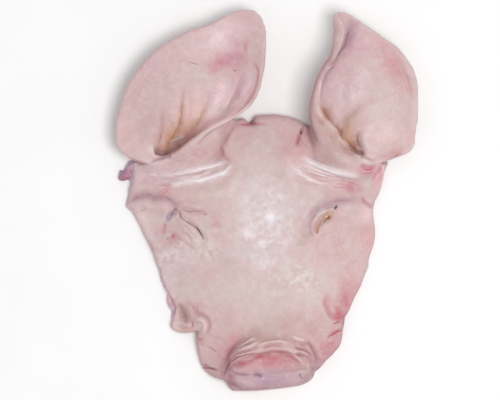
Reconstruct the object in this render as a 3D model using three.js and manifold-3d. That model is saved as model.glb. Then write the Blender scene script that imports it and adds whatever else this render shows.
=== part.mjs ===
// A raw pork face: the skin of a pig's head, boned out with both ears and the snout left on,
// lying flat with the skin side up, and the thin lining of meat and fat that is still under it.
// Millimetres, +Z up. The snout points along -Y and the ears along +Y. "Left" and "right" are the
// viewer's, looking down on the face. The origin ends up under the middle of the whole, on the table.
import * as THREE from "three";
import { mergeVertices } from "three/addons/utils/BufferGeometryUtils.js";
import Module from "manifold-3d";

const wasm = await Module();
wasm.setup();

// ---------------------------------------------------------------- driving dimensions

// The skin is laid out in rings round a line down the middle of the face, from the brow to the snout.
const SPINE = [[-3, 30], [0, -112]];
const EDGE_POINTS = 86; // round the cut edge
const FIELD_RINGS = 11; // from the spine out to the rounded edge
const EDGE_INSETS = [11, 6, 2.8, 0.8]; // rings of the rounded edge

// Knife-cut edge of the skin, clockwise from the crown.
const CROWN_EDGE = [[-14, 86], [10, 86.5], [25, 83], [38, 77]];
const RIGHT_EAR_EDGE = [[62, 62], [90, 47], [116, 38]];
const RIGHT_CHEEK_EDGE = [
  [120, 26], [113, 6], [108, -6], [110, -25], [111, -40], [104, -60],
  [99, -75], [91, -92], [84, -110], [78, -121],
];
const RIGHT_LIP_EDGE = [[77, -134], [74, -147], [60, -162], [50, -172]];
const SNOUT_EDGE = [[36, -176], [0, -180], [-34, -179]]; // tucked in under the snout
const LEFT_LIP_EDGE = [[-50, -176.5], [-62, -168.5], [-68, -154], [-70, -140], [-69, -131]];
const LEFT_JAW_EDGE = [
  [-78, -132], [-88, -130], [-95, -125], [-92, -112], [-95, -99], [-102, -84],
  [-108, -67], [-117, -46], [-127, -25], [-134, -12],
];
const LEFT_TEMPLE_EDGE = [[-141, -6], [-138, 8], [-134, 26], [-133, 38]];
const LEFT_EAR_EDGE = [[-112, 41], [-82, 48], [-50, 64], [-27, 80]];

// Height of the skin's top over the table down the middle, half width and middle of the dome: [y, size].
const MIDLINE_HEIGHT = [[-192, 28], [-150, 31], [-105, 31], [-50, 34], [0, 33], [50, 26], [90, 14]];
const DOME_HALF_WIDTH = [
  [-175, 62], [-140, 78], [-110, 92], [-60, 108], [-20, 121], [20, 130], [60, 112], [90, 74],
];
const DOME_MIDDLE = [[-150, 3], [-110, -5], [-60, -4], [-20, -9], [20, -8], [60, 4]];
const DOME_POWER = 2.3; // how long the dome stays high before it falls to the edge
const EDGE_HEIGHT = 9; // of the cut edge at the cheeks
const EDGE_ROUND = 5; // width of the rounding there

// Snout: arched sections from the bridge over the hood and the rim of the disc to its lower edge.
// Each runs at y in the middle and at y + bow at its sides, and rises from its base to its top.
const SNOUT_SECTIONS = [
  { y: -122, bow: -16, top: 26, half: 26 },
  { y: -132, bow: -12, top: 33, half: 36 },
  { y: -141, bow: -9, top: 40, half: 42 },
  { y: -148, bow: -9, top: 44.5, half: 44.5 },
  { y: -151, bow: -11, top: 44.5, half: 45 }, // edge of the hood
  { y: -152.6, bow: -12, top: 41, half: 45.5 }, // foot of the hood
  { y: -156, bow: -12, top: 43, half: 46 },
  { y: -162, bow: -9, top: 43, half: 46.5 },
  { y: -168, bow: -3, top: 40, half: 47 }, // rim of the disc
  { y: -172, bow: 1, top: 36.5, half: 47 },
  { y: -174.5, bow: 3.5, top: 32.5, half: 46.6 }, // groove across the disc
  { y: -177, bow: 4.5, top: 31.5, half: 46.2 },
  { y: -181, bow: 5, top: 28.5, half: 45 },
  { y: -185.5, bow: 4, top: 23.5, half: 43.5 },
  { x: -1, y: -188.3, bow: 2.5, top: 17.5, half: 40 },
  { x: -3, y: -189.8, bow: 1.2, top: 12.5, base: 1.5, half: 35 },
  { x: -4, y: -190, bow: 0.3, top: 8.5, base: 4, half: 28 },
];
const SNOUT = { x: 3, y: -160, turn: 3, squareness: 2.9, sides: 18 };
const NOSTRILS = [
  { x: -9, y: -178, z: 31.5, radii: [6.2, 3.6, 8], turn: 12, lean: 22 },
  { x: 20, y: -177, z: 31, radii: [4.6, 3, 6], turn: -12, lean: 22 },
];

// Soft mounds of the face: brows, eyelids and lip corners.
const MOUNDS = [
  { x: -82, y: 8, spreadX: 34, spreadY: 11, height: 6 }, // left brow
  { x: 66, y: 8, spreadX: 30, spreadY: 10, height: 5 }, // right brow
  { x: -84, y: -32, spreadX: 15, spreadY: 12, height: 4.5 }, // left lower eyelid
  { x: 70, y: -30, spreadX: 14, spreadY: 11, height: 4 }, // right lower eyelid
  { x: 72, y: -96, spreadX: 12, spreadY: 20, height: 4 }, // right cheek roll
  { x: -84, y: -117, spreadX: 8, spreadY: 9, height: -6 }, // hollow of the left jaw flap
  { x: 22, y: 46, spreadX: 14, spreadY: 22, height: 4 }, // pull of the right ear root
];

// Creases cut into the skin: path in plan, width and depth in the middle.
const CREASES = [
  { name: "left brow groove", path: [[-142, 3], [-121, 6], [-106, 2], [-93, -4]], width: 11, depth: 5 },
  { name: "left eye corner", path: [[-90, -8], [-95, -14], [-100, -23]], width: 6, depth: 4 },
  { name: "left eye slit", path: [[-84, -14], [-75, -23], [-66, -31], [-61, -45]], width: 6, depth: 5 },
  { name: "left ear root crease", path: [[-29, 64], [-33, 52], [-34, 40], [-29, 28]], width: 9, depth: 3.5 },
  { name: "left ear fold valley", path: [[-46, 32], [-62, 27], [-82, 22], [-104, 18]], width: 7, depth: 2.5 },
  { name: "right ear root pit", path: [[38, 74], [34, 65], [33, 55]], width: 10, depth: 8 },
  { name: "right ear fold valley", path: [[28, 40], [46, 28], [68, 22], [98, 18]], width: 7, depth: 2.5 },
  { name: "right brow groove", path: [[45, -22], [52, -11], [62, -5], [78, 0], [96, 9]], width: 9, depth: 3.5 },
  { name: "right eye slit", path: [[50, -39], [53, -26], [62, -18], [73, -11]], width: 6, depth: 5 },
  { name: "jaw flap groove", path: [[-78, -106], [-66, -111], [-58, -120], [-60, -136]], width: 9, depth: 5 },
  { name: "jaw flap hollow", path: [[-88, -106], [-83, -113], [-79, -121]], width: 10, depth: 3.5 },
  { name: "crown slit", path: [[-30, 75], [-8, 76.5], [15, 76]], width: 3, depth: 2.5 },
  { name: "snout wrinkle, left outer", path: [[-36, -154], [-26, -146], [-8, -141]], width: 4.5, depth: 3 },
  { name: "snout wrinkle, left inner", path: [[-34, -159], [-24, -151], [-7, -146]], width: 4.5, depth: 3 },
  { name: "snout wrinkle, top", path: [[-8, -145], [6, -142], [22, -144]], width: 4.5, depth: 2.5 },
  { name: "snout wrinkle, right outer", path: [[22, -142], [36, -146], [46, -156]], width: 4.5, depth: 3 },
  { name: "snout wrinkle, right inner", path: [[24, -147], [36, -152], [44, -161]], width: 4.5, depth: 3 },
];

// Raised folds where the skin is drawn up below the ears.
const FOLDS = [
  { name: "left ear, lower", path: [[-40, 30], [-52, 23], [-66, 18], [-84, 14], [-104, 12]], width: 12, height: 3 },
  { name: "left brow", path: [[-132, 14], [-112, 12], [-92, 6], [-72, -2]], width: 16, height: 3 },
  { name: "right ear, lower", path: [[20, 44], [30, 30], [50, 20], [74, 15], [96, 13]], width: 12, height: 3 },
  { name: "right brow", path: [[56, 2], [76, 8], [96, 17]], width: 14, height: 2.5 },
  { name: "jaw flap rim", path: [[-96, -116], [-92, -126], [-80, -128], [-70, -121]], width: 7, height: 2.5 },
];
const STRIP_STEP = 8; // along a crease or fold
// Across a crease or fold, in shares of half its width, and up, in shares of its depth or height.
const CREASE_PROFILE = { across: [-1.3, 1.3, 0], up: [0.5, 0.5, -1] };
const FOLD_PROFILE = { across: [1, 0.45, -0.45, -1, 0], up: [-0.7, 0.85, 0.85, -0.7, -2] };

// Knife nicks in the cut edge: where each starts inside, its heading in degrees, length and width.
const NICKS = [
  { x: -16.5, y: 79, heading: 90, length: 14, width: 5 },
  { x: 68, y: -121, heading: -20, length: 14, width: 4 },
  { x: -52, y: -167, heading: 183, length: 18, width: 2.4 },
  { x: -63, y: -127, heading: 216, length: 14, width: 5 },
];

// Ears. The rims run from the ear's notch to its tip, and each section is a sheet from the inner
// rim, out over a rolled wall, along the floor of the bowl and up to the outer rim.
const EAR_STATIONS = 20;
const EAR_COLUMNS = 14;
const EAR_WALL_SHARE = 0.34; // of a section, from the inner rim down to the floor
const EAR_RIM_START = 0.42; // of a section, where the floor starts to rise to the outer rim
const EARS = [
  {
    side: 1,
    innerRim: [
      [-94, 43, 38], [-84, 50, 48], [-70, 60, 54], [-54, 71, 57], [-35, 82, 57],
      [-16, 98, 52], [-8, 122, 46], [-5, 150, 38], [-7, 174, 31], [-15, 188, 28],
    ],
    outerRim: [
      [-118, 37, 22], [-134, 43, 24], [-147, 57, 26], [-145, 81, 28], [-133, 115, 31],
      [-111, 144, 33], [-80, 164, 33], [-53, 174, 31], [-35, 183, 29], [-22, 189.5, 28],
    ],
    wallOut: { base: 19, baseEnds: [0.2, 0.55], tip: 0, tipStarts: [0.8, 1], always: 4 },
    floor: [6, 5, 6, 8, 12, 18, 25],
    ridges: [
      { at: 0.3, height: 2.5 }, { at: 0.42, height: 3 }, { at: 0.55, height: 3 }, { at: 0.68, height: 2 },
    ],
  },
  {
    side: -1,
    innerRim: [
      [94, 44, 38], [83, 50, 47], [75, 62, 52], [64, 75, 56], [54, 87, 58],
      [52, 105, 57], [57, 125, 55], [70, 144, 50], [79, 166, 43], [74, 187, 37],
    ],
    outerRim: [
      [106, 37, 22], [126, 42, 24], [144, 51, 26], [147, 70, 28], [150, 94, 30],
      [146, 124, 32], [131, 148, 33], [111, 163, 33], [94, 176, 34], [80, 187, 36],
    ],
    wallOut: { base: 19, baseEnds: [0.14, 0.48], tip: 5, tipStarts: [0.72, 0.9], always: 5.5 },
    floor: [6, 5, 6, 8, 12, 18, 30],
    ridges: [{ at: 0.34, height: 2.5 }, { at: 0.48, height: 3 }, { at: 0.62, height: 2.5 }],
  },
];
const EAR_THICKNESS = { root: 9, tip: 5.5, rimShare: 0.7, thinning: 0.5 };
const RIDGE_WIDTH = 0.045; // of a section
const RIDGE_FADE = [0.05, 0.75]; // the ridges run out towards the tip

// The root of each ear: a slope of skin that falls from the bowl's inner rim to the face. Its crest
// runs along [x, y, z], and reach is how far the slope goes at even steps along it.
const EAR_ROOTS = [
  {
    side: 1,
    crest: [
      [-128, 34, 13], [-112, 38, 28], [-96, 42, 38], [-83, 49, 45], [-68, 60, 51], [-50, 72, 51], [-31, 82, 22],
    ],
    reach: [12, 22, 28, 33, 33, 26, 14],
  },
  {
    side: -1,
    crest: [
      [122, 34, 13], [109, 38, 27], [96, 42, 38], [84, 49, 45], [75, 60, 51], [64, 73, 52], [50, 84, 24],
    ],
    reach: [12, 22, 30, 34, 36, 32, 20],
  },
];
const ROOT = { steps: 12, slopes: 6, fullness: 0.75, bowlSide: 5, sunk: 8 };

// Lining of meat and fat: it stops short of the skin's edge except where scraps hang out.
const LINING = { inset: 14, rimHeight: 5, middleHeight: 15, points: 40, rings: 4, gap: 0.4, lump: 1.2 };
const SCRAPS = [
  { x: -130, y: 29, z: 3.5, radii: [18, 12, 6], turn: -12 }, // dark scrap under the left ear
  { x: -133, y: 18, z: 3, radii: [13, 12, 5.5], turn: 10 },
  { x: -130, y: 0, z: 2.5, radii: [11, 18, 4.5], turn: 12 }, // pale fat below it
  { x: -97, y: -80, z: 2.5, radii: [10.5, 15, 4], turn: 22 }, // along the left jaw
  { x: -90, y: -101, z: 3, radii: [12, 14, 4.8], turn: 18 },
  { x: -87, y: -117, z: 2.5, radii: [11, 9, 4.5], turn: 0 },
  { x: 95, y: -68, z: 2.5, radii: [11, 16, 4], turn: -18 }, // sliver of fat on the right cheek
];
const SCRAP_DETAIL = 1; // of the ball each scrap is made from

// ---------------------------------------------------------------- small helpers

const clamp01 = (x) => Math.min(Math.max(x, 0), 1);
const smooth = (from, to, x) => {
  const t = clamp01((x - from) / (to - from));
  return t * t * (3 - 2 * t);
};
const bell = (x) => Math.exp(-x * x);
const blend = (a, b, t) => a + (b - a) * t;

// Value at t, from 0 to 1, of evenly spaced numbers.
function along(values, t) {
  const place = clamp01(t) * (values.length - 1);
  const i = Math.min(Math.floor(place), values.length - 2);
  return blend(values[i], values[i + 1], smooth(0, 1, place - i) * 0.5 + (place - i) * 0.5);
}

// Value at x of a table of [x, value], rising in x, on a smooth curve through its values.
function tableAt(table, x) {
  const last = table.length - 1;
  const slope = (i) => {
    const [x0, v0] = table[Math.max(i - 1, 0)];
    const [x1, v1] = table[Math.min(i + 1, last)];
    return (v1 - v0) / (x1 - x0);
  };
  if (x <= table[0][0]) return table[0][1];
  if (x >= table[last][0]) return table[last][1];
  const i = table.findIndex((row) => row[0] > x) - 1;
  const [x0, v0] = table[i];
  const [x1, v1] = table[i + 1];
  const t = (x - x0) / (x1 - x0);
  const bendAt = (j) => slope(j) * (x1 - x0) - (v1 - v0);
  const bend = (1 - t) * bendAt(i) - t * bendAt(i + 1);
  return blend(v0, v1, t) + t * (1 - t) * bend;
}

// A curve through [x, y, z] points.
function curveThrough(points) {
  return new THREE.CatmullRomCurve3(points.map((p) => new THREE.Vector3(...p)), false, "catmullrom", 0.5);
}

// Triangles that close a loop of point numbers with a fan round its middle.
function fan(loop, points) {
  points.push(loop.reduce((sum, i) => sum.add(points[i]), new THREE.Vector3()).divideScalar(loop.length));
  return loop.flatMap((a, j) => [points.length - 1, a, loop[(j + 1) % loop.length]]);
}

// Triangles that close a long loop with a strip across it, from its first point to the one opposite.
function zip(loop) {
  const faces = [];
  for (let i = 0, j = loop.length - 1; j - i > 1; j--) {
    faces.push(loop[i], loop[i + 1], loop[j]);
    i++;
    if (j - i > 1) faces.push(loop[i], loop[j - 1], loop[j]);
  }
  return faces;
}

// A closed solid from loops of points, each joined to the next and the two ends closed.
function loft(loops, closeFirst = fan, closeLast = fan) {
  const sides = loops[0].length;
  const points = loops.flat();
  const faces = [];
  for (let i = 0; i + 1 < loops.length; i++) {
    for (let j = 0; j < sides; j++) {
      const a = i * sides + j;
      const b = i * sides + ((j + 1) % sides);
      faces.push(a, b, a + sides, b, b + sides, a + sides);
    }
  }
  const numbers = loops[0].map((_, j) => j);
  faces.push(...closeFirst(numbers, points).reverse());
  faces.push(...closeLast(numbers.map((j) => j + (loops.length - 1) * sides), points));
  return solidFrom(points, faces);
}

// A manifold solid from points and triangles, turned to face out.
function solidFrom(points, faces) {
  const make = (triVerts) =>
    new wasm.Manifold(
      new wasm.Mesh({
        numProp: 3,
        vertProperties: Float32Array.from(points.flatMap((p) => p.toArray())),
        triVerts: Uint32Array.from(triVerts),
      }),
    );
  const solid = make(faces);
  return solid.volume() > 0 ? solid : make(faces.reverse());
}

// A manifold solid from a three.js geometry.
function solidOf(geometry) {
  const bare = geometry.clone();
  bare.deleteAttribute("normal");
  bare.deleteAttribute("uv");
  const merged = mergeVertices(bare, 1e-4);
  return new wasm.Manifold(
    new wasm.Mesh({
      numProp: 3,
      vertProperties: merged.attributes.position.array,
      triVerts: Uint32Array.from(merged.index.array),
    }),
  );
}

// A named mesh from a manifold solid.
function meshOf(name, solid, material) {
  const made = solid.getMesh();
  const geometry = new THREE.BufferGeometry();
  geometry.setAttribute("position", new THREE.BufferAttribute(new Float32Array(made.vertProperties), 3));
  geometry.setIndex(Array.from(made.triVerts));
  geometry.computeVertexNormals();
  const mesh = new THREE.Mesh(geometry, material);
  mesh.name = name;
  return mesh;
}

// Joined solids, and a solid with others cut out of it.
const joined = (solids) => solids.reduce((sum, each) => sum.add(each));
const without = (solid, cuts) => cuts.reduce((left, each) => left.subtract(each), solid);

// The largest body of a solid: the crumbs that a cut leaves loose are dropped.
const largest = (solid) => solid.decompose().sort((a, b) => b.volume() - a.volume())[0];

// ---------------------------------------------------------------- skin of the face

// Evenly spaced points round the cut edge of the skin.
function cutEdge(count) {
  const points = [
    CROWN_EDGE, RIGHT_EAR_EDGE, RIGHT_CHEEK_EDGE, RIGHT_LIP_EDGE, SNOUT_EDGE,
    LEFT_LIP_EDGE, LEFT_JAW_EDGE, LEFT_TEMPLE_EDGE, LEFT_EAR_EDGE,
  ].flat();
  const curve = new THREE.CatmullRomCurve3(
    points.map(([x, y]) => new THREE.Vector3(x, y, 0)), true, "catmullrom", 0.5,
  );
  curve.arcLengthDivisions = 1200;
  return curve.getSpacedPoints(count).slice(0, -1);
}

// Height of the skin at (x, y), inside its cut edge by d.
function skinHeight(x, y, d = Infinity) {
  const out = Math.abs(x - tableAt(DOME_MIDDLE, y)) / tableAt(DOME_HALF_WIDTH, y);
  const dome = EDGE_HEIGHT + (tableAt(MIDLINE_HEIGHT, y) - EDGE_HEIGHT) * (1 - clamp01(out) ** DOME_POWER);
  const rounding = Math.sqrt(1 - (1 - clamp01(d / EDGE_ROUND)) ** 2);
  const relief = MOUNDS.reduce(
    (sum, m) => sum + m.height * bell(Math.hypot((x - m.x) / m.spreadX, (y - m.y) / m.spreadY)), 0,
  );
  return Math.max(dome * blend(0.35, 1, rounding) + relief * smooth(-2, 8, d), 2.5);
}

// Points of the cut edge with the nearest point of the spine to each.
function spokes(count) {
  const [a, b] = SPINE.map(([x, y]) => new THREE.Vector3(x, y, 0));
  const spine = new THREE.Line3(a, b);
  return cutEdge(count).map((tip) => {
    const root = spine.closestPointToPoint(tip, true, new THREE.Vector3());
    return { root, tip, reach: root.distanceTo(tip) };
  });
}

// The skin as rings from the spine out to the cut edge, round it and back under.
function faceSlab() {
  const all = spokes(EDGE_POINTS);
  const ring = (share, inset, height) =>
    all.map(({ root, tip, reach }) => {
      const r = share * (1 - inset / reach);
      const p = root.clone().lerp(tip, r);
      return p.setZ(height ?? skinHeight(p.x, p.y, reach * (1 - r)));
    });
  const loops = [];
  for (let i = 0.6; i < FIELD_RINGS; i++) loops.push(ring(i / FIELD_RINGS, EDGE_INSETS[0]));
  for (const inset of EDGE_INSETS) loops.push(ring(1, inset));
  loops.push(ring(1, 0, 2.4), ring(1, 1.6, 0), ring(0.1, 0, 0));
  return loft(loops, zip, zip);
}

// The snout as arched sections, closed under the skin.
function snoutPad() {
  const { sides, squareness, turn } = SNOUT;
  const round = (v) => Math.sign(v) * Math.abs(v) ** (2 / squareness);
  const place = new THREE.Matrix4().makeRotationZ(THREE.MathUtils.degToRad(turn));
  place.setPosition(SNOUT.x, SNOUT.y, 0);
  const loops = SNOUT_SECTIONS.map(({ x = 0, y, bow, top, base = 0, half }) => {
    const point = (across, z) => new THREE.Vector3(x + half * across, y - SNOUT.y + bow * across ** 2, z);
    const loop = [];
    for (let j = 0; j <= sides; j++) {
      const angle = (Math.PI * j) / sides;
      loop.push(point(round(Math.cos(angle)), blend(base, top, round(Math.sin(angle)))));
    }
    loop.push(point(-0.4, base), point(0.4, base));
    return loop.map((p) => p.applyMatrix4(place));
  });
  return loft(loops);
}

// A squashed ball, turned about the vertical after it is leaned forward.
function ball({ x, y, z, radii, turn, lean = 0 }, detail, gap = 0) {
  const geometry = new THREE.IcosahedronGeometry(1, detail);
  geometry.scale(radii[0] + gap, radii[1] + gap, radii[2] + gap);
  geometry.rotateX(THREE.MathUtils.degToRad(lean));
  geometry.rotateZ(THREE.MathUtils.degToRad(turn));
  geometry.translate(x, y, z);
  return solidOf(geometry);
}

// A strip along a path that is laid on a surface: the profile is widest and deepest in its middle.
function strip({ path, width, depth }, { across, up }, surface) {
  const curve = curveThrough(path.map(([x, y]) => [x, y, 0]));
  const steps = Math.max(5, Math.round(curve.getLength() / STRIP_STEP));
  const ray = new THREE.Raycaster();
  const loops = [];
  for (let i = 0; i <= steps; i++) {
    const s = i / steps;
    const place = curve.getPointAt(s);
    const run = curve.getTangentAt(s);
    const full = blend(0.06, 1, Math.sin(Math.PI * s) ** 0.6);
    ray.set(place.clone().setZ(200), new THREE.Vector3(0, 0, -1));
    const [hit] = ray.intersectObject(surface);
    const z = hit ? hit.point.z : 0;
    loops.push(across.map((share, k) => new THREE.Vector3(
      place.x - run.y * share * full * (width / 2),
      place.y + run.x * share * full * (width / 2),
      z + up[k] * depth * full,
    )));
  }
  return loft(loops);
}

// A thin wedge along the knife's way through the edge.
function nick({ x, y, heading, length, width }) {
  const wedge = new THREE.Shape([
    new THREE.Vector2(0, 0), new THREE.Vector2(length, -width / 2), new THREE.Vector2(length, width / 2),
  ]);
  const geometry = new THREE.ExtrudeGeometry(wedge, { depth: 80, bevelEnabled: false });
  geometry.rotateZ(THREE.MathUtils.degToRad(heading));
  geometry.translate(x, y, -10);
  return solidOf(geometry);
}

// ---------------------------------------------------------------- ears

// Middle surface of an ear, as rows of points from its notch to its tip.
function earSheet(ear) {
  const inner = curveThrough(ear.innerRim);
  const outer = curveThrough(ear.outerRim);
  const { base, baseEnds, tip, tipStarts, always } = ear.wallOut;
  const rows = [];
  for (let i = 0; i <= EAR_STATIONS; i++) {
    const s = i / EAR_STATIONS;
    const a = inner.getPoint(s);
    const b = outer.getPoint(s);
    const run = inner.getTangent(s);
    const away = new THREE.Vector2(run.y, -run.x).normalize().multiplyScalar(ear.side);
    const nearBase = smooth(-0.04, 0.16, s) * (1 - smooth(...baseEnds, s));
    const nearTip = smooth(...tipStarts, s);
    const out = (always + base * nearBase + tip * nearTip) * Math.sqrt(1 - s ** 14);
    const floor = along(ear.floor, s);
    const ridgeFade = smooth(0, 0.08, s) * (1 - smooth(...RIDGE_FADE, s));
    const row = [];
    for (let j = 0; j <= EAR_COLUMNS; j++) {
      const t = j / EAR_COLUMNS;
      const wall = clamp01(t / EAR_WALL_SHARE);
      const roll = out * Math.sin(Math.PI * wall);
      const across = t ** 1.6;
      const drop = (1 + Math.cos(Math.PI * wall)) / 2;
      const rise = clamp01((t - EAR_RIM_START) / (1 - EAR_RIM_START)) ** 2;
      let z = floor + (a.z - floor) * drop + (b.z - floor) * rise;
      for (const ridge of ear.ridges) {
        z += ridge.height * ridgeFade * bell((t - ridge.at) / RIDGE_WIDTH);
      }
      row.push(new THREE.Vector3(
        blend(a.x, b.x, across) + away.x * roll, blend(a.y, b.y, across) + away.y * roll, z,
      ));
    }
    rows.push(row);
  }
  return rows;
}

// An ear: its middle surface given its thickness, with rounded rims.
function earSolid(ear) {
  const rows = earSheet(ear);
  const last = EAR_COLUMNS;
  const loops = rows.map((row, i) => {
    const s = i / EAR_STATIONS;
    const before = rows[Math.max(i - 1, 0)];
    const after = rows[Math.min(i + 1, EAR_STATIONS)];
    const half = row.map((_, j) => {
      const belly = blend(EAR_THICKNESS.rimShare, 1, Math.sin((Math.PI * j) / last));
      const thickness = blend(EAR_THICKNESS.root, EAR_THICKNESS.tip, s ** 0.5);
      return (thickness * belly * (1 - EAR_THICKNESS.thinning * s ** 10)) / 2;
    });
    const normals = row.map((_, j) => {
      const lengthwise = after[j].clone().sub(before[j]);
      const across = row[Math.min(j + 1, last)].clone().sub(row[Math.max(j - 1, 0)]);
      return lengthwise.cross(across).normalize().multiplyScalar(ear.side);
    });
    const top = row.map((p, j) => p.clone().addScaledVector(normals[j], half[j]));
    const under = row.map((p, j) => p.clone().addScaledVector(normals[j], -half[j]));
    const rim = (j, next) => {
      const outward = row[j].clone().sub(row[next]).normalize();
      return row[j].clone().addScaledVector(outward, half[j] * 0.9);
    };
    return [rim(0, 1), ...top, rim(last, last - 1), ...under.reverse()];
  });
  return loft(loops, zip, zip);
}

// The root of an ear, as sections across its crest that slope down to the face.
function earRoot({ side, crest, reach }) {
  const curve = curveThrough(crest);
  const loops = [];
  for (let i = 0; i <= ROOT.steps; i++) {
    const s = i / ROOT.steps;
    const top = curve.getPoint(s);
    const run = curve.getTangent(s);
    const away = new THREE.Vector3(run.y, -run.x, 0).normalize().multiplyScalar(side);
    const full = blend(0.25, 1, Math.sqrt(Math.sin(Math.PI * s)));
    const far = along(reach, s) * full;
    const end = top.clone().addScaledVector(away, far);
    const foot = Math.min(skinHeight(end.x, end.y) - 0.6, top.z);
    const loop = [];
    for (let j = 0; j <= ROOT.slopes; j++) {
      const t = j / ROOT.slopes;
      const p = top.clone().addScaledVector(away, far * t);
      loop.push(p.setZ(foot + (top.z - foot) * Math.cos((Math.PI / 2) * t) ** ROOT.fullness));
    }
    const low = Math.max(foot - ROOT.sunk, 3);
    loop.push(end.clone().setZ(low), top.clone().addScaledVector(away, -ROOT.bowlSide).setZ(low));
    loops.push(loop);
  }
  return loft(loops);
}

// ---------------------------------------------------------------- lining of meat and fat

// All the space below a height.
function below(height) {
  const table = new THREE.BoxGeometry(600, 600, 60);
  table.translate(0, 0, height - 30);
  return solidOf(table);
}

// The lining, or with a gap the slightly larger space that the skin leaves for it.
function lining(gap) {
  const all = spokes(LINING.points);
  const base = -2 * gap;
  const ring = (share, height) =>
    all.map(({ root, tip, reach }) => {
      const p = root.clone().lerp(tip, share * (1 - (LINING.inset - gap) / reach));
      const lumps = LINING.lump * Math.sin(p.x / 17) * Math.sin(p.y / 13 + p.x / 41) * (1 - share ** 4);
      return p.setZ(height ?? blend(LINING.middleHeight, LINING.rimHeight, share ** 2) + lumps + gap);
    });
  const loops = [];
  for (let i = 0.3; i < LINING.rings; i++) loops.push(ring(0.96 * (i / (LINING.rings - 0.7))));
  loops.push(ring(1, LINING.rimHeight * 0.55), ring(0.985, base), ring(0.1, base));
  const scraps = SCRAPS.map((scrap) => ball(scrap, SCRAP_DETAIL, gap));
  return joined([loft(loops, zip, zip), ...scraps]).subtract(below(base));
}

// ---------------------------------------------------------------- the part

const skinMaterial = new THREE.MeshStandardMaterial({ color: 0xd9bcb8, roughness: 0.55, metalness: 0 });
const liningMaterial = new THREE.MeshStandardMaterial({ color: 0xb57f86, roughness: 0.45, metalness: 0 });

function faceSkin() {
  const smoothSkin = joined([faceSlab(), snoutPad(), ...EARS.map(earSolid), ...EAR_ROOTS.map(earRoot)]);
  const surface = meshOf("smooth skin", smoothSkin, skinMaterial);
  const folds = FOLDS.map((fold) => strip({ ...fold, depth: fold.height }, FOLD_PROFILE, surface));
  const creases = CREASES.map((crease) => strip(crease, CREASE_PROFILE, surface));
  const nostrils = NOSTRILS.map((nostril) => ball(nostril, 1));
  const cuts = [...creases, ...nostrils, ...NICKS.map(nick), lining(LINING.gap), below(0)];
  return largest(without(joined([smoothSkin, ...folds]), cuts));
}

const porkFace = new THREE.Group();
porkFace.add(meshOf("face_skin", faceSkin(), skinMaterial));
porkFace.add(meshOf("meat_lining", lining(0), liningMaterial));

// The origin goes under the middle of the whole.
const middle = new THREE.Box3().setFromObject(porkFace).getCenter(new THREE.Vector3());
for (const mesh of porkFace.children) mesh.geometry.translate(-middle.x, -middle.y, 0);

export default porkFace;
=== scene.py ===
"""A raw pork face lying flat on a pale table, seen from straight above.

Two pieces are made: the skin with its ears and snout, and the lining of meat and fat under it.

Lengths are millimetres until a mesh is made, which is in metres. There are two plans. The outline,
the ears and the snout are given on the plan of the solids: x to the right and y towards the ears.
Folds, furrows, blushes, stains, and some painted shade and highlights are charted on a sheet 500 mm
wide and 400 mm high that the face lies on: across from its left edge and down from its top edge.
"""

import sys

import logging
from dataclasses import dataclass, field
from enum import Enum
from functools import reduce

import bpy
import numpy as np
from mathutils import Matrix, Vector

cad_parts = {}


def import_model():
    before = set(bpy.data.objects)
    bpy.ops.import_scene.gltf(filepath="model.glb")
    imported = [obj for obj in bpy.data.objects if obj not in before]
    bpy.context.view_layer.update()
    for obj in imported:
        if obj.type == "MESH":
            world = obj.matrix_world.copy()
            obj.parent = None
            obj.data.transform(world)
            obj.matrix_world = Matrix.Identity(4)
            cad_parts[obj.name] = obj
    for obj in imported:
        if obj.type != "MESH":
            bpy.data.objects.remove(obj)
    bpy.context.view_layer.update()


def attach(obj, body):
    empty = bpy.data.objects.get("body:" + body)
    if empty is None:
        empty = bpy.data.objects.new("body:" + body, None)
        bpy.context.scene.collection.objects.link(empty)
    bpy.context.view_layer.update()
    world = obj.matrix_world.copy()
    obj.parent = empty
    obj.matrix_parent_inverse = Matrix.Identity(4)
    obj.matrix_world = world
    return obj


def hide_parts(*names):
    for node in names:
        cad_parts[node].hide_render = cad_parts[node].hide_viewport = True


Array = np.ndarray
Points = tuple[tuple[float, ...], ...]
Colour = str  # of a screen, as six hexadecimal digits
Chart = str  # corners of a path, as "across,down across,down" on the charted sheet
Piece = bpy.types.Object
Mesh = bpy.types.Mesh
Socket = bpy.types.NodeSocket

LOG = logging.getLogger("pork_face")

METRES = 0.001
PLAN_MIDDLE = np.array([1.0226, -0.5836, 0.0])  # middle of the whole, on the plan of the solids
SHEET_CORNER = (-266.0, 200.0)  # of the charted sheet, on the plan of the solids
HALF_BOX = np.array([150.8, 190.7, 59.9])  # of the solids
TABLE_GLOW = 1.07  # light that comes back from a white sheet on the table
WARMTH = (1.02, 0.995, 1.02)  # of the skin, for red, green and blue
HAND = (0.55, 6.0, 51)  # how far a mark strays, over what length, and by which noise
SMALL_PATCH = 5.5  # half size under which a patch is a firm spot and no uneven blush


# ---------------------------------------------------------------- numbers and curves


def smoothstep(low: float | Array, high: float | Array, x: Array) -> Array:
    """Rises from 0 at low to 1 at high with level ends."""
    t = np.clip((x - low) / (high - low), 0.0, 1.0)
    return t * t * (3 - 2 * t)


def bell(x: Array) -> Array:
    """exp(-x squared): 1 in the middle, a third at 1, nothing past 2.5."""
    return np.exp(-x * x)


def mix(a: Array, b: Array, share: Array) -> Array:
    """Goes from a to b, row by row where share has one number a row."""
    share = np.asarray(share, float)
    if np.ndim(a) > 1 or (np.ndim(b) > 0 and share.ndim == 1):
        share = share[..., None] if share.ndim else share
    return a + (b - a) * share


def linear(colour: Colour) -> Array:
    """Scene-linear colour of a screen colour."""
    c = np.frombuffer(bytes.fromhex(colour), np.uint8) / 255
    return np.where(c <= 0.04045, c / 12.92, ((c + 0.055) / 1.055) ** 2.4)


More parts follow.
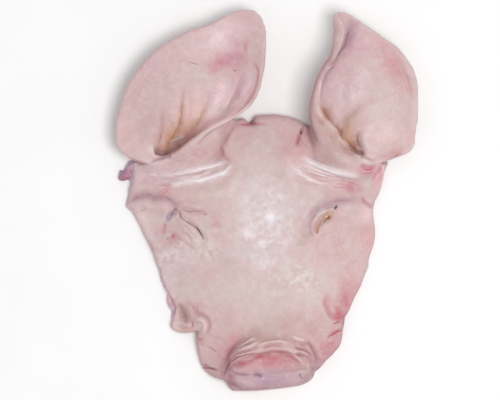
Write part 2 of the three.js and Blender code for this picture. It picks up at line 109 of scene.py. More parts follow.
def smooth_table(rows: Points, x: Array) -> Array:
    """Values at x of a table of (x, value), on a cubic through its rows.

    The slope at each row is the one between its two neighbours.

    Args:
        rows: pairs in rising x.
        x: places to read.

    Returns:
        One value for each place, level past both ends.
    """
    place, value = np.array(rows, float).T
    last = len(place) - 1
    slope = np.array([
        (value[min(i + 1, last)] - value[max(i - 1, 0)]) / (place[min(i + 1, last)] - place[max(i - 1, 0)])
        for i in range(last + 1)
    ])
    x = np.clip(x, place[0], place[-1])
    i = np.clip(np.searchsorted(place, x, side="right") - 1, 0, last - 1)
    run, rise = place[i + 1] - place[i], value[i + 1] - value[i]
    t = (x - place[i]) / run
    bend = (1 - t) * (slope[i] * run - rise) - t * (slope[i + 1] * run - rise)
    return value[i] + rise * t + t * (1 - t) * bend


def spline(points: Array | Points, t: Array, closed: bool = False) -> Array:
    """Catmull-Rom curve through points, with t from 0 to 1 over its even steps.

    Between two points it is the cubic whose slopes are half the way between their neighbours.

    Args:
        points: corners of the curve, one a row.
        t: places along it.
        closed: whether the last point joins the first.

    Returns:
        One row for each place.
    """
    p = np.asarray(points, float)
    if closed:
        p = np.vstack([p[-1], p, p[0], p[1]])
    else:
        p = np.vstack([2 * p[0] - p[1], p, 2 * p[-1] - p[-2]])
    spans = len(p) - 3
    place = np.clip(np.asarray(t, float), 0, 1) * spans
    i = np.minimum(place.astype(int), spans - 1)
    w = (place - i)[:, None]
    before, a, b, after = p[i], p[i + 1], p[i + 2], p[i + 3]
    start, end = (b - before) / 2, (after - a) / 2
    return (
        a * (1 - 3 * w**2 + 2 * w**3)
        + b * (3 * w**2 - 2 * w**3)
        + start * (w - 2 * w**2 + w**3)
        + end * (w**3 - w**2)
    )


def spline_run(points: Array | Points, t: Array) -> Array:
    """Unit direction of an open spline at t, from points a little before and after."""
    step = 1e-4
    run = spline(points, np.clip(t + step, 0, 1)) - spline(points, np.clip(t - step, 0, 1))
    return run / np.linalg.norm(run, axis=1, keepdims=True)


def evenly(points: Array | Points, count: int) -> Array:
    """Count points at even lengths round a closed spline, starting at its first point."""
    dense = spline(points, np.linspace(0, 1, 6001), closed=True)
    length = np.concatenate([[0], np.cumsum(np.linalg.norm(np.diff(dense, axis=0), axis=1))])
    want = np.linspace(0, length[-1], count, endpoint=False)
    return np.column_stack([np.interp(want, length, dense[:, k]) for k in range(dense.shape[1])])


def lattice_noise(points: Array, size: float, seed: int) -> Array:
    """Soft noise from -1 to 1: random values on a cubic lattice, eased between its eight corners.

    Args:
        points: places, one a row.
        size: edge of a lattice cell, in the unit of the points.
        seed: which noise.

    Returns:
        One value for each point.
    """
    values = np.random.default_rng(seed).uniform(-1, 1, (32, 32, 32))
    place = points / size
    cell = np.floor(place).astype(int)
    ease = place - cell
    ease = ease * ease * (3 - 2 * ease)
    total = np.zeros(len(points))
    for corner in np.ndindex(2, 2, 2):
        share = np.prod(np.where(np.array(corner) == 1, ease, 1 - ease), axis=1)
        i = (cell + np.array(corner)) % 32
        total += share * values[i[:, 0], i[:, 1], i[:, 2]]
    return total


def on_plan(chart: Chart) -> Array:
    """Plan points, x and y, of the corners of a charted path."""
    across, down = np.array([corner.split(",") for corner in chart.split()], float).T
    return np.column_stack([SHEET_CORNER[0] + across, SHEET_CORNER[1] - down])


# ---------------------------------------------------------------- surfaces and meshes


@dataclass
class Surface:
    """A triangle mesh as arrays: points in millimetres, and triangles as point numbers."""

    points: Array
    triangles: Array

    def facing_out(self) -> "Surface":
        """The same surface with its triangles turned so that its volume is positive."""
        a, b, c = (self.points[self.triangles[:, k]] for k in range(3))
        if np.einsum("ij,ij->", a, np.cross(b, c)) < 0:
            return Surface(self.points, self.triangles[:, ::-1])
        return self

    @staticmethod
    def joined(parts: list["Surface"]) -> "Surface":
        """Several surfaces in one, still apart from each other."""
        starts = np.cumsum([0] + [len(part.points) for part in parts])
        return Surface(
            np.vstack([part.points for part in parts]),
            np.vstack([part.triangles + start for part, start in zip(parts, starts)]),
        )


class Closing(Enum):
    """How the end of a loft is closed: round its middle, across in a strip, or not at all."""

    FAN = "fan"
    STRIP = "strip"
    LINE = "line"


def loft(loops: Array, first: Closing = Closing.FAN, last: Closing = Closing.FAN) -> Surface:
    """A closed surface from loops of points, each joined to the next by two triangles a step.

    Args:
        loops: points as an array of loops by points by three.
        first: how the first loop is closed. LINE is for a loop that has drawn in to a line.
        last: how the last loop is closed.

    Returns:
        The surface, facing out.
    """
    rows, sides, _ = loops.shape
    number = np.arange(rows * sides).reshape(rows, sides)
    a, b = number[:-1].ravel(), np.roll(number, -1, axis=1)[:-1].ravel()
    triangles = [np.column_stack([a, b, a + sides]), np.column_stack([b, b + sides, a + sides])]
    points = [loops.reshape(-1, 3)]
    for loop, closing, flip in ((number[0], first, True), (number[-1], last, False)):
        if closing is Closing.FAN:
            hub = rows * sides + len(points) - 1
            points.append(loops.reshape(-1, 3)[loop].mean(axis=0)[None])
            cap = np.column_stack([np.full(sides, hub), loop, np.roll(loop, -1)])
        elif closing is Closing.STRIP:
            i = np.arange(sides // 2 - 1)
            near, far = loop[i], loop[sides - 1 - i]
            near_next, far_next = loop[i + 1], loop[sides - 2 - i]
            cap = np.vstack([
                np.column_stack([near, near_next, far]),
                np.column_stack([near_next, far_next, far]),
            ])
        else:
            continue
        triangles.append(cap[:, ::-1] if flip else cap)
    return Surface(np.vstack(points), np.vstack(triangles)).facing_out()


def ball(centre: Points | Array, radii: Array, turn: float, rows: int = 24, sides: int = 40) -> Surface:
    """A squashed ball from circles of latitude, turned about the vertical.

    Args:
        centre: its middle.
        radii: its half sizes before it is turned.
        turn: degrees anticlockwise, looking down.
        rows: circles from pole to pole.
        sides: points in each circle.

    Returns:
        The surface.
    """
    tilt = np.linspace(0.02, np.pi - 0.02, rows)[:, None]
    round_ = np.linspace(0, 2 * np.pi, sides, endpoint=False)[None]
    local = np.stack(
        [np.sin(tilt) * np.cos(round_), np.sin(tilt) * np.sin(round_), np.cos(tilt) + 0 * round_], axis=2
    ) * np.asarray(radii, float)
    c, s = np.cos(np.radians(turn)), np.sin(np.radians(turn))
    return loft(local @ np.array([[c, s, 0], [-s, c, 0], [0, 0, 1]]) + np.asarray(centre, float))


def new_piece(name: str, surface: Surface) -> Piece:
    """Puts a surface into a new Blender object, in metres and in the frame of the solids."""
    mesh = bpy.data.meshes.new(name)
    place = ((surface.points - PLAN_MIDDLE) * METRES).astype(np.float32)
    count = len(surface.triangles)
    mesh.vertices.add(len(place))
    mesh.vertices.foreach_set("co", place.ravel())
    mesh.loops.add(3 * count)
    mesh.loops.foreach_set("vertex_index", surface.triangles.astype(np.int32).ravel())
    mesh.polygons.add(count)
    mesh.polygons.foreach_set("loop_start", np.arange(0, 3 * count, 3, dtype=np.int32))
    mesh.update(calc_edges=True)
    mesh.validate()
    piece = bpy.data.objects.new(name, mesh)
    bpy.context.scene.collection.objects.link(piece)
    return piece


def points_of(mesh: Mesh) -> Array:
    """A mesh's points in millimetres on the plan of the solids."""
    flat = np.empty(3 * len(mesh.vertices), np.float32)
    mesh.vertices.foreach_get("co", flat)
    return flat.reshape(-1, 3).astype(float) / METRES + PLAN_MIDDLE


def set_points(mesh: Mesh, points: Array) -> None:
    """Moves a mesh's points to places in millimetres on the plan of the solids."""
    mesh.vertices.foreach_set("co", ((points - PLAN_MIDDLE) * METRES).astype(np.float32).ravel())
    mesh.update()


def normals_of(mesh: Mesh) -> Array:
    """A mesh's point normals."""
    flat = np.empty(3 * len(mesh.vertices), np.float32)
    mesh.vertex_normals.foreach_get("vector", flat)
    return flat.reshape(-1, 3).astype(float)


def apply_modifiers(piece: Piece) -> None:
    """Takes a piece's modifiers into its mesh and leaves none on it."""
    graph = bpy.context.evaluated_depsgraph_get()
    made = bpy.data.meshes.new_from_object(piece.evaluated_get(graph), depsgraph=graph)
    old = piece.data
    made.name = piece.name
    piece.modifiers.clear()
    piece.data = made
    bpy.data.meshes.remove(old)


def remesh(piece: Piece, size: float) -> None:
    """Makes overlapping shells one skin of even quads, size millimetres across."""
    wrap = piece.modifiers.new("one skin", "REMESH")
    wrap.mode = "VOXEL"
    wrap.voxel_size = size * METRES
    apply_modifiers(piece)


def relax(mesh: Mesh, points: Array, pull: Array, rounds: int) -> Array:
    """Draws each point towards the mean of its neighbours, rounds times.

    Args:
        mesh: the mesh that says who the neighbours are.
        points: where its points are.
        pull: for each point, the share of the way it goes in a round.
        rounds: how often.

    Returns:
        The relaxed points.
    """
    edge = np.empty(2 * len(mesh.edges), np.int32)
    mesh.edges.foreach_get("vertices", edge)
    a, b = edge.reshape(-1, 2).T
    count = len(points)
    friends = np.maximum(np.bincount(a, minlength=count) + np.bincount(b, minlength=count), 1)
    pull = np.asarray(pull, float)[:, None] * np.ones((count, 1))
    now = points.copy()
    for _ in range(rounds):
        total = np.column_stack([
            np.bincount(a, now[b, k], count) + np.bincount(b, now[a, k], count) for k in range(3)
        ])
        now += pull * (total / friends[:, None] - now)
    return now


def inside_by(xy: Array, loop: Array) -> Array:
    """How far points are inside a closed loop, negative outside.

    The distance is to the nearest edge, and the side comes from counting crossings.

    Args:
        xy: points in plan.
        loop: corners of the loop in plan.

    Returns:
        One signed distance for each point.
    """
    a, b = loop, np.roll(loop, -1, axis=0)
    nearest = np.full(len(xy), np.inf)
    crossings = np.zeros(len(xy), int)
    for (ax, ay), (bx, by) in zip(a, b):
        dx, dy = bx - ax, by - ay
        t = np.clip(((xy[:, 0] - ax) * dx + (xy[:, 1] - ay) * dy) / max(dx * dx + dy * dy, 1e-9), 0, 1)
        nearest = np.minimum(nearest, np.hypot(xy[:, 0] - ax - t * dx, xy[:, 1] - ay - t * dy))
        if ay != by:
            above = (ay > xy[:, 1]) != (by > xy[:, 1])
            crossings += above & (xy[:, 0] < ax + (xy[:, 1] - ay) * dx / dy)
    return np.where(crossings % 2 == 1, nearest, -nearest)


# ---------------------------------------------------------------- marks on the skin


class Zone(Enum):
    """Which skin a mark lies on: what shows outside the ears' bowls, or the inside of a bowl."""

    FACE = "face"
    LEFT_BOWL = "left bowl"
    RIGHT_BOWL = "right bowl"


@dataclass(frozen=True)
class Line:
    """A fold, furrow or coloured streak along a charted path.

    Attributes:
        path: where it runs.
        width: half its width in millimetres, where it has fallen to a third.
        rise: its height, negative for a furrow.
        colour: its colour, or None.
        strength: how much of that colour it takes in its middle.
        spread: half the width of the colour, or None for its own.
        taper: share of its length over which each end fades.
        zone: the skin it lies on.
    """

    path: Chart
    width: float
    rise: float = 0.0
    colour: Colour | None = None
    strength: float = 0.0
    spread: float | None = None
    taper: float = 0.25
    zone: Zone = Zone.FACE

    def reach(self, xy: Array, margin: float) -> tuple[Array, Array, Array, Array]:
        """Points near the line and where each is beside it.

        Args:
            xy: points in plan.
            margin: how far round the line to look.

        Returns:
            The numbers of the near points, their signed distances (positive on the left of the
            path's way), the fade from 0 at the ends to 1, and how far along each is in millimetres.
        """
        corners = on_plan(self.path)
        way = spline(corners, np.linspace(0, 1, 6 * len(corners)))
        near = np.flatnonzero(((xy > way.min(0) - margin) & (xy < way.max(0) + margin)).all(1))
        place = xy[near][:, None, :]
        start, run = way[:-1], np.diff(way, axis=0)
        t = np.clip(((place - start) * run).sum(2) / (run**2).sum(1), 0, 1)
        gap = place - (start + t[..., None] * run)
        k = (gap**2).sum(2).argmin(1)
        row = np.arange(len(near))
        gap, along = gap[row, k], (k + t[row, k]) / len(run)
        side = np.where(run[k, 0] * gap[:, 1] - run[k, 1] * gap[:, 0] < 0, -1.0, 1.0)
        fade = smoothstep(0, self.taper, along) * smoothstep(0, self.taper, 1 - along)
        length = np.linalg.norm(run, axis=1).sum()
        return near, side * np.hypot(gap[:, 0], gap[:, 1]), fade, along * length

    def lift(self, xy: Array) -> tuple[Array, Array]:
        """Near points and how far the skin rises at each.

        A fold is a bell across. A furrow comes to a sharp line between rounded lips.
        """
        near, aside, fade, _ = self.reach(xy, 4.5 * self.width)
        off = np.abs(aside) / self.width
        if self.rise < 0:
            shape = np.exp(-1.25 * off) - 0.22 * bell((off - 1.9) / 0.9)
        else:
            shape = bell(off)
        return near, self.rise * fade * shape

    def shade(self, xy: Array) -> tuple[Array, Array]:
        """Near points and the share of the line's colour that each takes."""
        spread = self.spread or self.width
        near, aside, fade, _ = self.reach(xy, 2.6 * spread)
        return near, np.clip(self.strength * fade * bell(aside / spread), 0, 1)


@dataclass(frozen=True)
class Hairline:
    """A line too thin for the mesh. The mesh keeps how far aside it is, and the finish draws it.

    Attributes:
        path: where it runs.
        width: half its width in millimetres.
        colour: its colour.
        strength: how much of that colour it takes in its middle.
        rise: its height in millimetres, negative for a crack.
        taper: share of its length over which each end fades.
        zone: the skin it lies on.
    """

    path: Chart
    width: float
    colour: Colour
    strength: float
    rise: float = 0.0
    taper: float = 0.3
    zone: Zone = Zone.FACE

    def beside(self, xy: Array, reach: float) -> tuple[Array, Array, Array]:
        """Near points, their signed distances, and a fullness that is 0 past the reach."""
        near, aside, fade, _ = Line(self.path, self.width, taper=self.taper).reach(xy, reach + 2)
        return near, aside, self.strength * fade * smoothstep(reach, 0.55 * reach, np.abs(aside))


@dataclass(frozen=True)
class StrandBand:
    """A band of drawn skin with fine strands that run along its path."""

    path: Chart
    half_width: float
    strength: float = 1.0

    def run(self, xy: Array) -> tuple[Array, Array, Array, Array]:
        """Near points, how far along and aside each is in millimetres, and the band's fullness."""
        line = Line(self.path, self.half_width, taper=0.3)
        near, aside, fade, along = line.reach(xy, 2 * self.half_width)
        return near, along, aside, self.strength * fade * bell(aside / self.half_width)


@dataclass(frozen=True)
class Patch:
    """A soft oval swelling or blush.

    Attributes:
        across: its middle on the charted sheet, from the left.
        down: its middle, from the top.
        half_long: half its length, where it has fallen to a third.
        half_broad: half its breadth.
        colour: its colour, or None.
        strength: how much of that colour it takes in its middle.
        turn: degrees that its length is turned clockwise, looking down.
        rise: its height, negative for a hollow.
        crisp: how level its middle is: 1 for a bell, more for a flat spot with a firm edge.
        zone: the skin it lies on.
    """

    across: float
    down: float
    half_long: float
    half_broad: float
    colour: Colour | None = None
    strength: float = 0.0
    turn: float = 0.0
    rise: float = 0.0
    crisp: float = 1.0
    zone: Zone = Zone.FACE

    def weight(self, xy: Array) -> tuple[Array, Array]:
        """Near points and the patch's fullness there: a bell of the oval distance from its middle."""
        middle = np.array([SHEET_CORNER[0] + self.across, SHEET_CORNER[1] - self.down])
        margin = 2.6 * max(self.half_long, self.half_broad)
        near = np.flatnonzero((np.abs(xy - middle) < margin).all(1))
        angle = np.radians(-self.turn)
        dx, dy = (xy[near] - middle).T
        along = (dx * np.cos(angle) + dy * np.sin(angle)) / self.half_long
        aside = (dy * np.cos(angle) - dx * np.sin(angle)) / self.half_broad
        return near, bell(np.hypot(along, aside) ** self.crisp)


def wandered(points: Array, far: float, size: float, seed: int) -> Array:
    """Plan places drawn aside by noise, so that what is charted on them has an uneven hand.

    Args:
        points: points of a mesh.
        far: how far they stray, in millimetres.
        size: how long each waver is.
        seed: which noise.

    Returns:
        The strayed places in plan.
    """
    stray = [
        lattice_noise(points, size, seed + k) + 0.5 * lattice_noise(points, 0.42 * size, seed + 5 + k)
        for k in (0, 1)
    ]
    return points[:, :2] + far * np.column_stack(stray)


def charted(kind: type, zone: Zone, rows: tuple[tuple, ...], **shared: float) -> tuple:
    """Marks of one kind on one skin, from a table.

    Args:
        kind: Line, Hairline or Patch.
        zone: the skin they lie on.
        rows: for each mark, the kind's first values in their order.
        shared: values that all of them have.

    Returns:
        The marks, in the order of the rows.
    """
    return tuple(kind(*row, zone=zone, **shared) for row in rows)


# White of the stretched crests of the folds, partly a painted highlight on the wet crests.
FOLD_WHITE_AND_HIGHLIGHT = "f4edf0"
DARK_LASH = "422e36"

# Folds and furrows that the mesh carries. A row is a Line's path, width, rise, colour, strength,
# spread and taper.
UNDER_EAR_LINES: tuple[Line, ...] = charted(Line, Zone.FACE, (
    # The white crests of these folds are painted highlights as well as pale stretched skin.
    ("229,160 221,163 212,167 203,169 192,171 182,173 172,174.5 156,175",
     2.6, 1.2, FOLD_WHITE_AND_HIGHLIGHT, 0.4, 3, 0.12),
    ("232,162 228,168.5 222,173 214,176.5 205,179 195,181 182,182.5 166,186",
     3, 1.6, FOLD_WHITE_AND_HIGHLIGHT, 0.5, 3.2, 0.12),
    ("230,162 220,168 207,173 193,176 176,178.5", 1.7, -1.5, "d6bab0", 0.4, 1.8),
    ("238,166 233,180 221,191 202,196 182,194", 7, 2.2, "d5c3b8", 0.4, 9),
    # Painted shade along the edge where the left ear's root stands over the crown.
    ("240,122 234,129.6 228,137.4 222.6,146 223,153 227.6,159.6", 2, -0.8, "be9290", 0.5, 2.6, 0.2),
    # Painted shade in the crease under the left ear's lobe.
    ("126,157 136,161 144,164 152,165", 2.4, -0.9, "cea4ae", 0.5, 3),
    ("300,153 310,162 323,168.5 338,173 352,176 364,177", 3, 1.8, FOLD_WHITE_AND_HIGHLIGHT, 0.55, 3.4),
    ("290,160 297,170 307,177 318,182 330,184 344,183", 2.6, 1.5, "ead8d8", 0.45, 2.6),
    ("296,157 305,167 317,174 332,178 348,180", 1.5, -1.4, "d8b8b2", 0.4),
    ("302,160 313,167 326,172 342,176", 1, -0.8, "dcbeba", 0.35),
    ("284,166 291,178 304,187 322,191", 5.5, 1.5, "d8c8be", 0.35, 6),
    # Painted shade darkens the right root's pit and the broad strip to its right.
    ("304,124 301.8,130 300,135 297.6,142 296.4,148", 1.8, -1.8, "b0767a", 0.6, 2),
    ("307.6,112 308.2,122 309.6,132 311,140 313,147", 2.4, -0.8, "966870", 0.7, 2.2),
    ("304.4,125 304.6,132 305.6,140 307.6,148", 1.8, 0.9, "cea0a4", 0.6, 1.8),
    ("358,165 368,168 380,166", 2, -1.4, "ce808c", 0.6, 2.6),
    ("371,181 379,174 382,164", 1.8, -1, "d28c96", 0.5, 2.4),
))

BROW_LINES: tuple[Line, ...] = charted(Line, Zone.FACE, (
    # The mauve of the left brow's crease is painted shade in the groove.
    ("122,206 130,200 138,196.5 146,195.5 154,198.5 163,198.5 171,202 178,208",
     4.4, -4.2, "bc98a2", 0.62, 4.2),
    ("131,207 141,204 152,206 163,207 172,212", 5, 1.6, "debebe", 0.35),
    ("126,189 142,186 158,190 172,195", 5.5, 1.6, "d9bcb8", 0.25),
    ("178,208 188,210.5 198,212 209,214", 2.4, -1.5, "c8a6aa", 0.45, 2.2),
    ("311,240 309,226 313,213 322,206.5 333,204 346,201.5 358,201", 3.4, -2.2, "bea0a8", 0.65, 3.8),
    # Painted shade in the crease at the right edge, and in the crease below and left of the right eye.
    ("361,196 366,203 375,208", 2.2, -2, "c6989c", 0.6, 2.4),
    ("297,246 303,240 309,235 314,231", 4, -1.4, "c2aaa0", 0.5, 4),
))

EYE_LINES: tuple[Line, ...] = charted(Line, Zone.FACE, (
    # The bluish grey of the left eye's inner lid fold is painted shadow.
    ("177,208 174,212 169,217 165,223", 2.4, -2.8, "b09eac", 0.5, 2.6),
    ("165,222 163,229 166,236", 2.8, -0.9, "d49ca0", 0.5, 2.8),
    ("179,209 181,216 187,221 194,225.5 200,232 203,241", 1.7, -1.2, "ac8e8a", 0.45, 1.8, 0.15),
    ("184,212 193,218 201,225 207,234 209,244", 3, 1.3, "d3c1be", 0.5),
    ("176,218 184,222 191,229 196,238", 3.2, 1.2, "d0c2bc", 0.35),
    ("173,226 184,233 194,244", 1.8, -0.8, "c4aaa6", 0.3),
    ("175,236 185,243 196,253", 1.8, -0.8, "c6aca8", 0.3),
    ("207,246 211,256 213,266", 2.6, -0.6, "ceb6b0", 0.3),
    ("316,234 316,227 320,221.5 326,217.5 334,211", 2.4, -1.4, "bc9884", 0.6, 2.6, 0.15),
    ("312,228 315,218 322,211.5 332,207.5 344,205.5", 2.4, 1.3, "dcceca", 0.4),
    ("320,229 329,224 339,219", 2.4, 0.9, "d4c2b8", 0.35),
    ("317,238 328,234 340,227", 1.6, -0.7, "cab0aa", 0.25),
    ("306,242 304,229 308,215", 2.6, -0.8, "cab0ac", 0.4),
))

SNOUT_LINES: tuple[Line, ...] = charted(Line, Zone.FACE, (
    # The pale wrinkle rows here are painted highlights on their crests, and the dark rows painted shade in
    # their furrows.
    ("253,333 243,338 235,344.5 229,352 225,360 223,369 224,380", 3, -1.4, "b28084", 0.55, 3.2),
    ("243,352 234,356 229,361 226,368", 1.8, -0.9, "a46e72", 0.47, 2),
    ("240,346 247,342 255,336", 1.8, 1, "d8beba", 0.42, 1.5),
    ("235,351 243,348.5 252,345 261,340", 1.8, 1.1, "dcc2be", 0.42, 1.6),
    ("233,354 243,351.5 252,348.5 259,344.5", 1.4, -1, "ac7878", 0.51, 1.5),
    ("232,356.5 240,354 248,352.5 256,350.5", 1.5, 0.8, "d6b2b0", 0.42, 1.4),
    ("232,361 240,358.5 249,358 258,355.5", 1.9, 0.9, "d0a8a6", 0.38, 1.8),
    ("236,349 245,344.5 253,340", 1.3, -0.9, "a67272", 0.51, 1.4),
    ("258,347 262,343.5 268,342 276,341 283,341 290,344", 1.7, 1, "deccc2", 0.47, 1.5),
    ("256,341 268,338 280,337 290,339", 2.4, -0.7, "c6a29a", 0.42, 2.4),
    ("261,346.5 272,344.5 284,345.5", 1.5, -0.8, "be9690", 0.42, 1.7),
    ("262,349 272,347.5 282,348.5", 1.5, 0.6, "d2b2ac", 0.34, 1.6),
    ("290,334 296,337.5 303,339.5 309,343", 1.7, 1, "ded0c6", 0.42, 1.5),
    ("300,341 308,343 313,349 316,358 317,366", 2.2, -1.7, "aa7c7e", 0.55, 2.4),
    ("288,344 290,350 295,354.5 300,359 304,366", 1.8, 1, "d4b8b0", 0.42, 1.7),
    ("292,345 298,348 304,349 309,352.5 314,358", 1.5, -1.1, "a67072", 0.55, 1.6),
    ("293,354 300,354 306,355 313,360", 1.4, -0.9, "ac7678", 0.47, 1.5),
    ("296,350.5 303,352 310,356", 1.5, 0.6, "cea8a6", 0.34, 1.5),
    # Painted shade under the hood's edge, over the redder disc.
    ("230,364 239,363 246,363 252,359 258,356 266,353 275,351 283,352 290,355 297,360 303,368",
     2.6, -0.7, "b86a70", 0.45, 2.6, 0.15),
    # A painted highlight along the disc's upper rim.
    ("234,370 248,368 268,366.5 288,367 300,370", 2.6, 0.4, "d6a4a8", 0.34, 2.4),
    # Painted shade in the disc's crease and in the nostrils.
    ("229,367 233,372 240,374 250,374.2", 1.6, -0.9, "aa7e90", 0.47, 1.6),
    ("252,374 258,375 262,377.8", 2.6, -1.1, "a67e96", 0.6, 2.6),
    ("280,376.5 284,376.5 287,378", 2, -0.4, "b08c9e", 0.4, 2.2),
    ("298,372 300,376 303,380", 1.3, -0.5, "aa7686", 0.42),
))

EDGE_LINES: tuple[Line, ...] = charted(Line, Zone.FACE, (
    # Painted shade on the steep rims of both ears where they face each other.
    ("262,38 264.6,60 263,80 258,97 250,111", 3, 0, "cca09e", 0.6, 3.4),
    ("337,40 332,54 322,70 315,84 311.6,94", 4, 0, "be9696", 0.6, 4),
    ("234,123.4 243,124 252,124 262,123.6 272,124", 1.8, -0.8, "ce848c", 0.5, 2.4),
    # Painted shade in the hollow of the left jaw flap.
    ("178,302 181,310 184,318 186,326", 4.2, -2, "b4948a", 0.7, 3.6),
    ("183,301 189,304 194,311 194,318", 2.8, -1.2, "d0acac", 0.55, 2.7),
    ("191,313 199,314 206,318 208.5,326 206,337", 2.2, -2, "c49a9c", 0.6, 2),
    ("193,321 200,319.5 205,323 204,330 200,335", 2.4, 2.4, "e4d2d2", 0.75, 2.2),
    ("170,326 178,323 188,325 195,326", 2.6, 2, "decaca", 0.6, 2.6),
    ("190,320 192,324 191,329", 1.3, -1.2, "c49696", 0.5),
    ("168,330 180,332 192,330", 2, 0.6, "d6b4a0", 0.5, 2),
    ("202,364 210,369 219,371", 1.6, -1.6, "b68284", 0.6, 1.8),
    ("162,270 163,282 170,294 175,300", 3, 1, "e4d4da", 0.6, 3.2),
    ("326,340 332,335 338,331 344,330", 1.7, -1.5, "c87c84", 0.6, 2),
    ("323,298 325,307 330,316 337,322", 1.8, -1.4, "ce9698", 0.5, 2.2),
    ("330,300 332,309 337,315", 2.4, 1, "debcba", 0.4, 2.2),
    ("353,294 349,305 345,313", 2.4, 1, "d09094", 0.4, 3),
))

LEFT_BOWL_LINES: tuple[Line, ...] = charted(Line, Zone.LEFT_BOWL, (
    ("163,106 162,120 161,134 157,149", 2.2, -1.1, "c49288", 0.44, 2.2),
    ("183,82 182,102 180,122 175,136 166,152", 2.6, -1.6, "b28062", 0.52, 2.4),
    ("185,96 180,116 171,132 162,148", 3.6, 1, "cea082", 0.44, 4.2),
    ("210,80 206,102 199,118 188,132 174,148", 3, -1.4, "c89e86", 0.4, 4),
    ("244,66 238,88 230,105 219,122", 2.4, -1, "c4989a", 0.45, 2.6),
    ("224,74 218,94 209,122", 5, 1.2, "f6dee0", 0.7, 7),
    ("198,76 194,104 188,128", 4.4, 0.9, "dec4c0", 0.35, 5),
    ("173,98 171,118 166,140", 3.8, 0.9, "d7bab6", 0.3, 4),
    ("151,122 151,136 150,150", 4, 0.9, "d8c4c2", 0.4, 4.2),
    ("249,62 248,80 241,98 228,115", 3.4, 1, "eacad0", 0.6, 4.2),
    ("248,60 256,67 258,76 256,87 251,98 242,109 230,119 216,128", 2, -1, "d0929a", 0.48, 2.2),
    ("118,128 126,96 140,70 164,48 196,32 226,18", 2.4, 0.4, "d2aaaa", 0.32, 2.4),
    ("155,143 151,149 153,157", 2.2, 0.9, "e4d4d2", 0.6, 2.6),
), taper=0.42)

RIGHT_BOWL_LINES: tuple[Line, ...] = charted(Line, Zone.RIGHT_BOWL, (
    # Painted shadow under the rolled edge at the right ear's tip.
    ("351,12 350,25 347,40 341,52 332,63", 4.4, -1.3, "b2929e", 0.59, 4.6),
    ("334,60 326,68 320,79 317,91 317,102 320,114", 2, -1, "bea8ac", 0.42, 2),
    ("347,150 343,139 343,127 350,117 360,107 376,95", 3.2, -2, "c4ac9e", 0.47, 4),
    ("344,148 341,137 342,126", 2.4, -0.6, "ac704e", 0.59, 2.8),
    ("363,153 358,145 357,137 360,129", 2.2, -1.2, "bc9084", 0.5, 2),
    ("372,153 366,145 364,136 367,126", 3.4, 1.3, "e2dad6", 0.6, 3.6),
    ("353,149 349,139 350,128 356,117", 3, 1, "cea480", 0.47, 3.4),
    ("330,92 334,108 340,122", 4, 1, "dec4c8", 0.4, 4.4),
    ("353,58 347,75 343,92 344,110", 3.6, -0.8, "cebab8", 0.4, 3.6),
    # Painted shade on the strip under the right ear's curled inner rim.
    ("344,47 335,60 327,70 321,80 316.6,92", 3.6, 0, "a67c84", 0.7, 3.6),
    ("366,58 359,80 354,98 352,112", 5, 0.9, "e2d0d2", 0.4, 5),
    ("360,110 376,101 394,97", 2.6, -0.3, "dcb8ba", 0.4, 2.8),
    ("396,60 404,74 409,88 412,100", 2.2, -0.6, "d4a0a4", 0.47, 2.6),
    ("384,160 394,156.5 404,151", 2.2, 0, "c87c82", 0.55, 2.4),
    ("366,30 384,42 400,56 409,74 413,96 410,118 411,138", 2.4, 0.5, "d6b2b0", 0.35, 2.6),
), taper=0.36)

